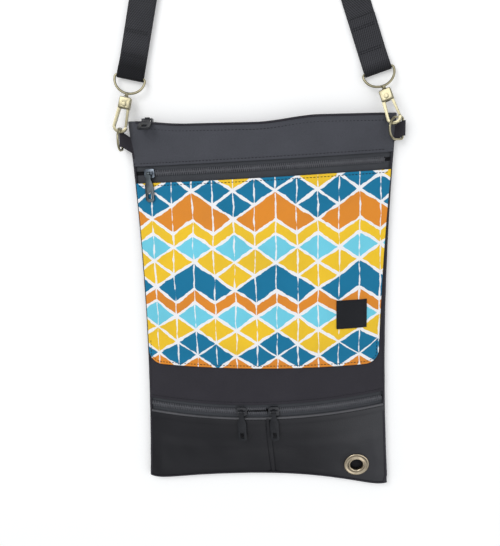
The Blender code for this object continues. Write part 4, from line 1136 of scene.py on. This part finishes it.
def curve_piece(name, runs, radius, resolution=1, cyclic=False):
    """Round wires through runs of points, as one mesh."""
    curve = bpy.data.curves.new(name, "CURVE")
    curve.dimensions = "3D"
    curve.bevel_depth = radius
    curve.bevel_resolution = resolution
    curve.use_fill_caps = not cyclic
    for run in runs:
        spline = curve.splines.new("POLY")
        spline.points.add(len(run) - 1)
        spline.use_cyclic_u = cyclic
        for point, place in zip(spline.points, run):
            point.co = (*place, 1)
    guide = new_object(name + "_guide", curve)
    mesh = apply_modifiers(guide)
    bpy.data.objects.remove(guide)
    mesh.name = name
    mesh.shade_smooth()
    return new_object(name, mesh)


def coil_runs(start, end, place, heads=0.8 * MM, parted=0.0):
    """Both rows of a zip's coil; heads is how far the teeth reach past the middle."""
    runs = []
    for side in (-1, 1):
        run = []
        for index in range(int((end - start) / COIL_PITCH)):
            x = start + COIL_PITCH * (index + (0.0 if side < 0 else 0.5))
            for along, across, up in ((0.0, side * COIL_HEEL, COIL_LOW),
                                      (0.12, side * COIL_HEEL, COIL_HIGH),
                                      (0.3, -side * heads, COIL_HIGH),
                                      (0.5, -side * heads, COIL_LOW)):
                run.append(place(x + COIL_PITCH * along, across, up))
                run[-1].y -= side * parted
        runs.append(run)
    return runs


def make_zip_tape(name, line, upper, materials, node):
    def low(x):
        return line(x) + (TAPE_SLIT if upper else -TAPE_HALF)

    def high(x):
        return line(x) + (TAPE_HALF if upper else -TAPE_SLIT)

    def height(x, y):
        return front_height(x, y) - TAPE_DROP
    piece = panel(name, low, high, height, TAPE, (False, False), 1.6 * MM, 72,
                  margin=ZIP_SEAM_REACH)
    finish_piece(piece, materials["tape"], "zip_tape", BAG, [node])


def make_zips(materials):
    for zip_name, line in (("front_zip", front_zip_y), ("lower_zip", lower_zip_y)):
        for side in ("upper", "lower"):
            make_zip_tape(zip_name + "_cloth_" + side, line, side == "upper", materials,
                          zip_name + "_tape_" + side)
    lower_place = front_place(lower_zip_y)
    chains = (
        ("front_zip_teeth", "front_zip_coil",
         coil_runs(FRONT_SLIDER_X - SLIDER_REAR, CHAIN_END, front_place(front_zip_y))),
        ("lower_zip_teeth_left", "lower_zip_coil_left",
         coil_runs(-CHAIN_END, LOWER_LEFT_SLIDER_X + SLIDER_REAR, lower_place)),
        ("lower_zip_teeth_right", "lower_zip_coil_right",
         coil_runs(LOWER_RIGHT_SLIDER_X - SLIDER_REAR, CHAIN_END, lower_place)),
        ("top_zip_teeth", "top_zip_coil",
         coil_runs(TOP_SLIDER_X - SLIDER_REAR, CHAIN_END, top_place)),
        ("lower_zip_open_teeth", None,
         coil_runs(LOWER_LEFT_SLIDER_X + 5 * MM, LOWER_RIGHT_SLIDER_X - 5 * MM, lower_place,
                   0.0, 0.9 * MM)))
    for name, node, runs in chains:
        piece = curve_piece(name, runs, COIL_WIRE)
        finish_piece(piece, materials["coil"], "zip_coil", BAG, [node] if node else [])
    for node in ("top_zip_tape_front", "top_zip_tape_back"):
        for material_slot in frame["nodes"][node].material_slots:
            material_slot.material = materials["tape"]


def softened(node, material, slot, width):
    """A copy of a CAD node's mesh with its edges rounded, swollen about its middle."""
    thing = new_object(node + "_look", frame["nodes"][node].data.copy())
    low, high = (Vector(corner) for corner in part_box(node))
    middle = (low + high) / 2
    swell = SWELLS.get(node, (1, 1, 1))
    for vertex in thing.data.vertices:
        offset = vertex.co - middle
        vertex.co = middle + Vector(part * more for part, more in zip(offset, swell))
    shape = bmesh.new()
    shape.from_mesh(thing.data)
    bmesh.ops.remove_doubles(shape, verts=shape.verts, dist=WELD)
    bmesh.ops.dissolve_limit(shape, angle_limit=FLAT_ANGLE, verts=shape.verts,
                             edges=shape.edges)
    shape.to_mesh(thing.data)
    shape.free()
    thing.data.shade_smooth()
    bevel = thing.modifiers.new("round", "BEVEL")
    bevel.width = width
    bevel.segments = 3
    bevel.limit_method = "ANGLE"
    bevel.angle_limit = EDGE_ANGLE
    bevel.harden_normals = True
    bevel.use_clamp_overlap = True
    apply_modifiers(thing)
    return finish_piece(thing, material, slot, node_body(node), [node])


def node_body(node):
    """Name of the body that carries a CAD node."""
    holder = frame["nodes"][node].parent
    for body, empty in frame["bodies"].items():
        if empty == holder:
            return body
    raise ValueError(node)


def make_hardware(materials):
    for look, slot, width, nodes in (
            ("slider_grey", "slider_metal", 0.2, ["front_zip_slider"]),
            ("slider", "slider_metal", 0.2, ["lower_zip_slider_left", "lower_zip_slider_right",
                                             "top_zip_slider"]),
            ("pull", "pull_metal", 0.2, ["front_zip_pull"]),
            ("pull_black", "pull_metal", 0.2, ["lower_zip_pull_left", "lower_zip_pull_right",
                                               "top_zip_pull"]),
            ("gold", "pale_gold", 0.1, ["hook_body_left", "hook_body_right"]),
            ("gold", "pale_gold", 0.35, ["hook_gate_left", "hook_gate_right"]),
            ("gold", "pale_gold", 0.1, ["hook_rivet_left", "hook_rivet_right"]),
            ("gold", "pale_gold", 0.35, ["strap_slide"]),
            ("brass", "old_brass", 0.2, ["eyelet_washer"])):
        for node in nodes:
            softened(node, materials[look], slot, width * MM)


def make_eyelet(materials):
    """Domed ring with its barrel turned down through the leather."""
    outline = [(12.5, 0.3), (12.8, 0.7), (12.6, 1.2), (12.1, 1.6), (11.5, 1.65), (10.9, 1.35),
               (10.2, 1.0), (9.4, 0.95), (8.7, 1.25), (8.1, 1.8), (7.5, 2.1), (6.9, 1.95),
               (6.4, 1.4), (6.1, 0.4), (6.0, -2.4), (6.5, -2.4), (6.5, -0.2), (8.0, 0.3)]
    profile = [(radius * MM, height * MM) for radius, height in outline]
    matrix = surface_frame(EYELET_X, EYELET_Y) @ Matrix.Rotation(math.pi / 2, 4, "X")
    piece = turned_about_y("eyelet_ring", profile, matrix, 64, closed=True)
    finish_piece(piece, materials["brass"], "old_brass", BAG, ["eyelet_front"])


def ring_matrix(spot, lean):
    place = Vector((spot[0], spot[1], RING_BAR_HEIGHT))
    return Matrix.Translation(place) @ Matrix.Rotation(lean, 4, "Y")


def link_point(spot, lean, level):
    above = max(level - RING_SIDE, 0.0)
    return ring_matrix(spot, lean) @ Vector((0, math.sqrt(RING_HALF ** 2 - above ** 2), level))


def hook_matrix(grip, room, lean, lift):
    reach = LINK_REACH - room
    eye_height = lift + STRAP_THICKNESS / 2 + LOOP_RADIUS
    rise = (eye_height - grip.z) / reach
    flat = math.sqrt(1.0 - rise ** 2)
    along = Vector((math.sin(lean) * flat, math.cos(lean) * flat, rise))
    across = along.cross(UP).normalized()
    return axes_matrix(across, along, across.cross(along), grip + along * reach)


def arc(centre, radius, start, end, count):
    points = []
    for index in range(count + 1):
        angle = math.radians(start + (end - start) * index / count)
        points.append((centre[0] + radius * math.cos(angle), centre[1] + radius * math.sin(angle)))
    return points


def make_ring(name, node, matrix, materials):
    flat = arc((RING_HALF - RING_CORNER, RING_CORNER), RING_CORNER, -90, 0, 6)
    bow = arc((0, RING_SIDE), RING_HALF, 3, 177, 32)
    outline = flat + [(RING_HALF, RING_SIDE)] + bow + [(-RING_HALF, RING_SIDE)]
    outline += [(-y, z) for y, z in reversed(flat)]
    points = [matrix @ Vector((0, y, z)) for y, z in outline]
    piece = curve_piece(name, [points], RING_WIRE, 5, True)
    finish_piece(piece, materials["gold"], "pale_gold", node_body(node), [node])


def make_eye(name, node, matrix, materials):
    """The hook's wire eye with its turned neck."""
    right = arc((EYE_HALF - EYE_CORNER, -EYE_CORNER), EYE_CORNER, 90, 0, 6)
    bow = [(x, -EYE_CORNER - y * (EYE_DEPTH - EYE_CORNER) / EYE_HALF)
           for x, y in arc((0, 0), EYE_HALF, 0, 180, 40)[1:-1]]
    left = [(-x, y) for x, y in reversed(right)]
    points = [matrix @ Vector((x, y, 0)) for x, y in right + bow + left]
    piece = curve_piece(name, [points], EYE_WIRE, 5, True)
    finish_piece(piece, materials["gold"], "pale_gold", node_body(node), [node])
    profile = [(0.9, 0.2), (1.9, 0.0), (2.5, -0.7), (2.5, -1.3), (1.7, -1.9), (1.5, -2.6),
               (2.2, -3.0), (2.2, -3.4), (1.2, -3.5)]
    top = -(EYE_DEPTH - EYE_WIRE * 0.4)
    neck = turned_about_y(name + "_neck", [(r * MM, top + h * MM) for r, h in profile], matrix)
    finish_piece(neck, materials["gold"], "pale_gold", node_body(node), [])


def turned_about_y(name, profile, matrix, steps=28, closed=False):
    """A turned piece about the matrix's Y axis, from radius and height pairs."""
    shape = bmesh.new()
    rings = []
    for radius, height in profile:
        ring = []
        for step in range(steps):
            angle = 2 * math.pi * step / steps
            place = Vector((radius * math.cos(angle), height, radius * math.sin(angle)))
            ring.append(shape.verts.new(matrix @ place))
        rings.append(ring)
    join_rings(shape, rings, closed)
    bmesh.ops.recalc_face_normals(shape, faces=shape.faces)
    return new_object(name, shape_mesh(shape, name))


def make_tab(name, node, spot, materials):
    """Cloth tab folded round a ring's bar."""
    side = math.copysign(1, spot[0])
    loop = RING_WIRE + SEAT + FABRIC / 2
    bend = 16
    leaf_rows = 6
    rows = bend + 2 * leaf_rows

    def point(column, row):
        y = spot[1] - TAB_WIDTH / 2 + TAB_WIDTH * column / 10
        seam = half_width(y) + SEAT - 1.5 * MM
        centre = abs(spot[0])
        leaf = FABRIC / 2 + SEAT / 2
        flat = SEAM_HEIGHT - SEAM_ROLL_DEPTH
        if row < leaf_rows or row > rows - leaf_rows:
            share = min(row, rows - row) / leaf_rows
            sign = 1 if row < leaf_rows else -1
            x = seam + (centre - seam) * share
            start = flat + sign * leaf
            z = start + (RING_BAR_HEIGHT + sign * loop - start) * ease(share)
        else:
            angle = math.pi / 2 * (1 - 2 * (row - leaf_rows) / bend)
            x = centre + loop * math.cos(angle)
            z = RING_BAR_HEIGHT + loop * math.sin(angle)
        y -= TAB_SLANT * (centre - min(x, centre))
        return (side * x, y, z)
    piece = shell(name, point, 10, rows, FABRIC, 0.0)
    finish_piece(piece, materials["fabric"], "black_fabric", BAG, [node])


def strap_axes(matrix, lean):
    run = Vector((math.sin(lean), math.cos(lean), 0))
    width = Vector((run.y, -run.x, 0))
    return matrix.translation.copy(), run, width


def loop_stations(matrix, lean, tail, straight):
    """Webbing from the tail's end, round the eye's bar and along the main layer."""
    origin, run, width = strap_axes(matrix, lean)
    stations = []

    def add(along, up):
        stations.append((origin + run * along + UP * up, width))

    over = -LOOP_RADIUS + STRAP_THICKNESS + SEAT
    tail_steps = max(int(tail / (6 * MM)), 2)
    for index in range(tail_steps):
        add(tail + (LOOP_RUN - tail) * index / tail_steps, over)
    for index in range(8):
        share = 1.0 - index / 8
        add(LOOP_RUN * share, over + (LOOP_RADIUS - over) * ease(1.0 - share))
    steps = 16
    for index in range(steps + 1):
        angle = math.pi / 2 + math.pi * index / steps
        add(LOOP_RADIUS * math.cos(angle), LOOP_RADIUS * math.sin(angle))
    main_steps = int(straight / (6 * MM))
    for index in range(1, main_steps + 1):
        add(straight * index / main_steps, -LOOP_RADIUS)
    return stations


def running_lengths(points):
    """Distance from the first point to each one."""
    lengths = [0.0]
    for first, second in zip(points, points[1:]):
        lengths.append(lengths[-1] + (second - first).length)
    return lengths


def arch_stations(left, left_run, right, right_run):
    """Webbing over the arch, turned on edge between the two flat stretches."""
    top = Vector((ARCH_X, ARCH_Y, 0))
    side = Vector((1, 0, 0))
    steps = ARCH_STEPS * 4
    first = interpolate_bezier(left, left + left_run * ARCH_HANDLE, top - side * ARCH_HALF, top,
                               steps)
    second = interpolate_bezier(top, top + side * ARCH_HALF, right + right_run * ARCH_HANDLE,
                                right, steps)
    points = [Vector(p) for p in first] + [Vector(p) for p in second[1:]]
    lengths = running_lengths(points)
    total = lengths[-1]
    stations = []
    for index in range(1, len(points) - 1):
        run = points[index + 1] - points[index - 1]
        run.z = 0
        run.normalize()
        near_start = ease(lengths[index] / TWIST_RUN)
        near_end = ease((total - lengths[index]) / TWIST_RUN)
        turn = math.pi / 2 * near_start * near_end
        flat = Vector((run.y, -run.x, 0))
        width = flat * math.cos(turn) + UP * math.sin(turn)
        floor = (STRAP_WIDTH * math.sin(turn) + STRAP_THICKNESS * math.cos(turn)) / 2
        share = lengths[index] / total
        lift = left.z + (right.z - left.z) * share - STRAP_THICKNESS / 2
        place = Vector((points[index].x, points[index].y, floor + max(lift, 3 * SEAT)))
        stations.append((place, width))
    return stations


def make_strap(left_matrix, right_matrix, materials):
    left = loop_stations(left_matrix, LEFT_LEAN, LEFT_TAIL, LEFT_STRAIGHT)
    right = loop_stations(right_matrix, RIGHT_LEAN, RIGHT_TAIL, RIGHT_STRAIGHT)
    left_run = strap_axes(left_matrix, LEFT_LEAN)[1]
    right_run = strap_axes(right_matrix, RIGHT_LEAN)[1]
    arch = arch_stations(left[-1][0], left_run, right[-1][0], right_run)
    stations = left + arch + [(place, -width) for place, width in reversed(right)]
    columns = 12
    lengths = running_lengths([place for place, _ in stations])

    def point(column, row):
        place, width = stations[row]
        return place + width * (STRAP_WIDTH * (column / columns - 0.5))
    strap = shell("webbing_strap", point, columns, len(stations) - 1, STRAP_THICKNESS, 0.0)
    layer = strap.data.uv_layers.new(name="along")
    wide = columns + 1
    for polygon in strap.data.polygons:
        for loop_index in polygon.loop_indices:
            vertex = strap.data.loops[loop_index].vertex_index
            layer.data[loop_index].uv = (STRAP_WIDTH * (vertex % wide) / columns,
                                         lengths[vertex // wide])
    finish_piece(strap, materials["webbing"], "webbing", BAG, ["strap"])
    runs = []
    for matrix, lean in ((left_matrix, LEFT_LEAN), (right_matrix, RIGHT_LEAN)):
        origin, run, width = strap_axes(matrix, lean)
        origin += UP * (-LOOP_RADIUS + STRAP_THICKNESS * 1.5 + SEAT)
        half = STRAP_WIDTH / 2 - 2 * MM
        for along in STRAP_STITCHES:
            runs.append([(origin + run * along + width * reach, UP) for reach in (-half, half)])
    stitches("strap_stitches", runs, materials["thread"], "webbing", pitch=2.6 * MM,
             length=2.1 * MM, thread=0.32 * MM)


def ray_share(tree, *kinds):
    """1 for rays of any of the kinds named, 0 for others."""
    path = tree.nodes.new("ShaderNodeLightPath")
    seen = Wire(tree, path.outputs[kinds[0]])
    for kind in kinds[1:]:
        seen = seen.highest(path.outputs[kind])
    return seen


def make_stage():
    """Pale floor that keeps the shadow and shows white around it."""
    mesh = bpy.data.meshes.new("floor")
    reach = 6.0
    mesh.from_pydata([(-reach, -reach, 0), (reach, -reach, 0), (reach, reach, 0),
                      (-reach, reach, 0)], [], [(0, 1, 2, 3)])
    floor = new_object("floor", mesh)
    floor.location.z = -0.2 * MM
    paint = Paint("floor_paint", 0.9, gloss=0.0)
    feed(paint.tree, paint.inputs["Base Color"], (0.97, 0.97, 0.97))
    feed(paint.tree, paint.inputs["Emission Color"], (1.0, 1.0, 1.0))
    seen = ray_share(paint.tree, "Is Camera Ray", "Is Glossy Ray")
    feed(paint.tree, paint.inputs["Emission Strength"], seen * FLOOR_GLOW)
    mesh.materials.append(paint.material)


def make_world():
    """White surroundings for the camera, a shaded wall in what metal shows, softer light."""
    world = bpy.data.worlds.new("studio")
    bpy.context.scene.world = world
    world.use_nodes = True
    tree = world.node_tree
    background = tree.nodes["Background"]
    x, _, z = split(tree, tree.nodes.new("ShaderNodeTexCoord").outputs["Generated"])
    height = z * WALL_RISE - WALL_DARK + x * WALL_SLANT
    height = height.highest(1.0 - ray_share(tree, "Is Glossy Ray")).clamped()
    shade = height.blend((0.16, 0.165, 0.175), (0.97, 0.985, 1.0))
    feed(tree, background.inputs["Color"], shade)
    seen = ray_share(tree, "Is Camera Ray", "Is Glossy Ray", "Is Transmission Ray")
    feed(tree, background.inputs["Strength"], seen.spread(SOFT_LIGHT, 1.0))


def area_light(name, place, target, size, power):
    light = bpy.data.lights.new(name, "AREA")
    light.size = size
    light.energy = power
    light.specular_factor = 0.12
    thing = new_object(name, light)
    thing.location = place
    aim = Vector(target) - Vector(place)
    thing.rotation_euler = aim.to_track_quat("-Z", "Y").to_euler()


def make_lights():
    """A key light from beyond the bag's left and a weaker one from its right, in watts."""
    area_light("key_light", (-0.75, 0.95, 1.35), target=(0, 0.05, 0), size=0.9, power=10.0)
    area_light("fill_light", (1.1, -0.3, 1.2), target=(0, 0, 0), size=1.2, power=4.0)


def make_camera():
    data = bpy.data.cameras.new("camera")
    camera = new_object("camera", data)
    camera.location = CAMERA_AT
    camera.rotation_euler = [math.radians(angle) for angle in CAMERA_TURN]
    data.sensor_width = SENSOR
    data.sensor_fit = "AUTO"
    data.lens = FOCAL_IN_PIXELS / IMAGE_LONG_SIDE * SENSOR
    data.clip_start = 0.01
    bpy.context.scene.camera = camera


def declare_sheets():
    """Look up the flat size that each sheet's grid measures, and the objects listed with it; nothing is
    named or kept.
    """
    tabs = ["back_cloth", "edge_seam"]
    eyes = ["eye_look_left", "eye_look_right"]
    tapes = [name + end for name in ("front_zip_cloth", "lower_zip_cloth")
             for end in ("_upper", "_lower")]
    for name, held, rests_on, with_pieces in (
            ("back_cloth", "laid", ["floor"], ["edge_seam"]),
            ("back_lining_cloth", "laid", ["back_cloth"], []),
            ("front_lining_cloth", "hung", ["top_band_cloth"], []),
            ("top_band_cloth", "stretched", ["edge_seam"],
             ["band_edge_roll", "mouth_edge_roll", tapes[0]]),
            ("centre_cloth", "stretched", ["edge_seam"], ["centre_edge_roll", tapes[1], tapes[2]]),
            ("lower_pocket_leather", "stretched", ["edge_seam"],
             ["pocket_edge_roll", "divider_strip", "divider_stitches", tapes[3]]),
            ("printed_pocket_cloth", "laid", ["centre_cloth"], ["print_stitches"]),
            ("label_cloth", "laid", ["printed_pocket_cloth"], ["label_stitches"]),
            ("tab_cloth_left", "folded", tabs, []),
            ("tab_cloth_right", "folded", tabs, []),
            ("webbing_strap", "folded", eyes, ["strap_stitches"])):
        across, along, area = CUTS[name]
        [bpy.data.objects[other] for other in with_pieces]
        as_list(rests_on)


def make_links(materials):
    """Rings, eyes and tabs of both sides; returns the hooks' matrices."""
    rings = (("left", LEFT_RING, LEFT_RING_LEAN), ("right", RIGHT_RING, RIGHT_RING_LEAN))
    left = hook_matrix(link_point(*rings[0][1:], LEFT_LINK_LEVEL), LEFT_LINK_ROOM, LEFT_LEAN,
                       LEFT_STRAP_LIFT)
    right = hook_matrix(link_point(*rings[1][1:], RIGHT_LINK_LEVEL), RIGHT_LINK_ROOM, RIGHT_LEAN,
                        RIGHT_STRAP_LIFT)
    for name, spot, lean in rings:
        make_ring("ring_look_" + name, "tab_ring_" + name, ring_matrix(spot, lean), materials)
    for name, matrix in (("left", left), ("right", right)):
        make_eye("eye_look_" + name, "hook_eye_" + name, matrix, materials)
    for name, spot, _ in rings:
        make_tab("tab_cloth_" + name, "tab_" + name, spot, materials)
    return left, right


def main():
    materials = make_materials()
    for make in (make_panels, make_edge_seam, make_edge_rolls, make_divider, make_print,
                 make_label, make_zips, make_hardware, make_eyelet):
        make(materials)
    make_strap(*make_links(materials), materials)
    make_stitching(materials)
    make_stage()
    declare_sheets()
    make_world()
    make_lights()
    make_camera()
    bpy.context.scene.view_settings.view_transform = "Standard"


main()
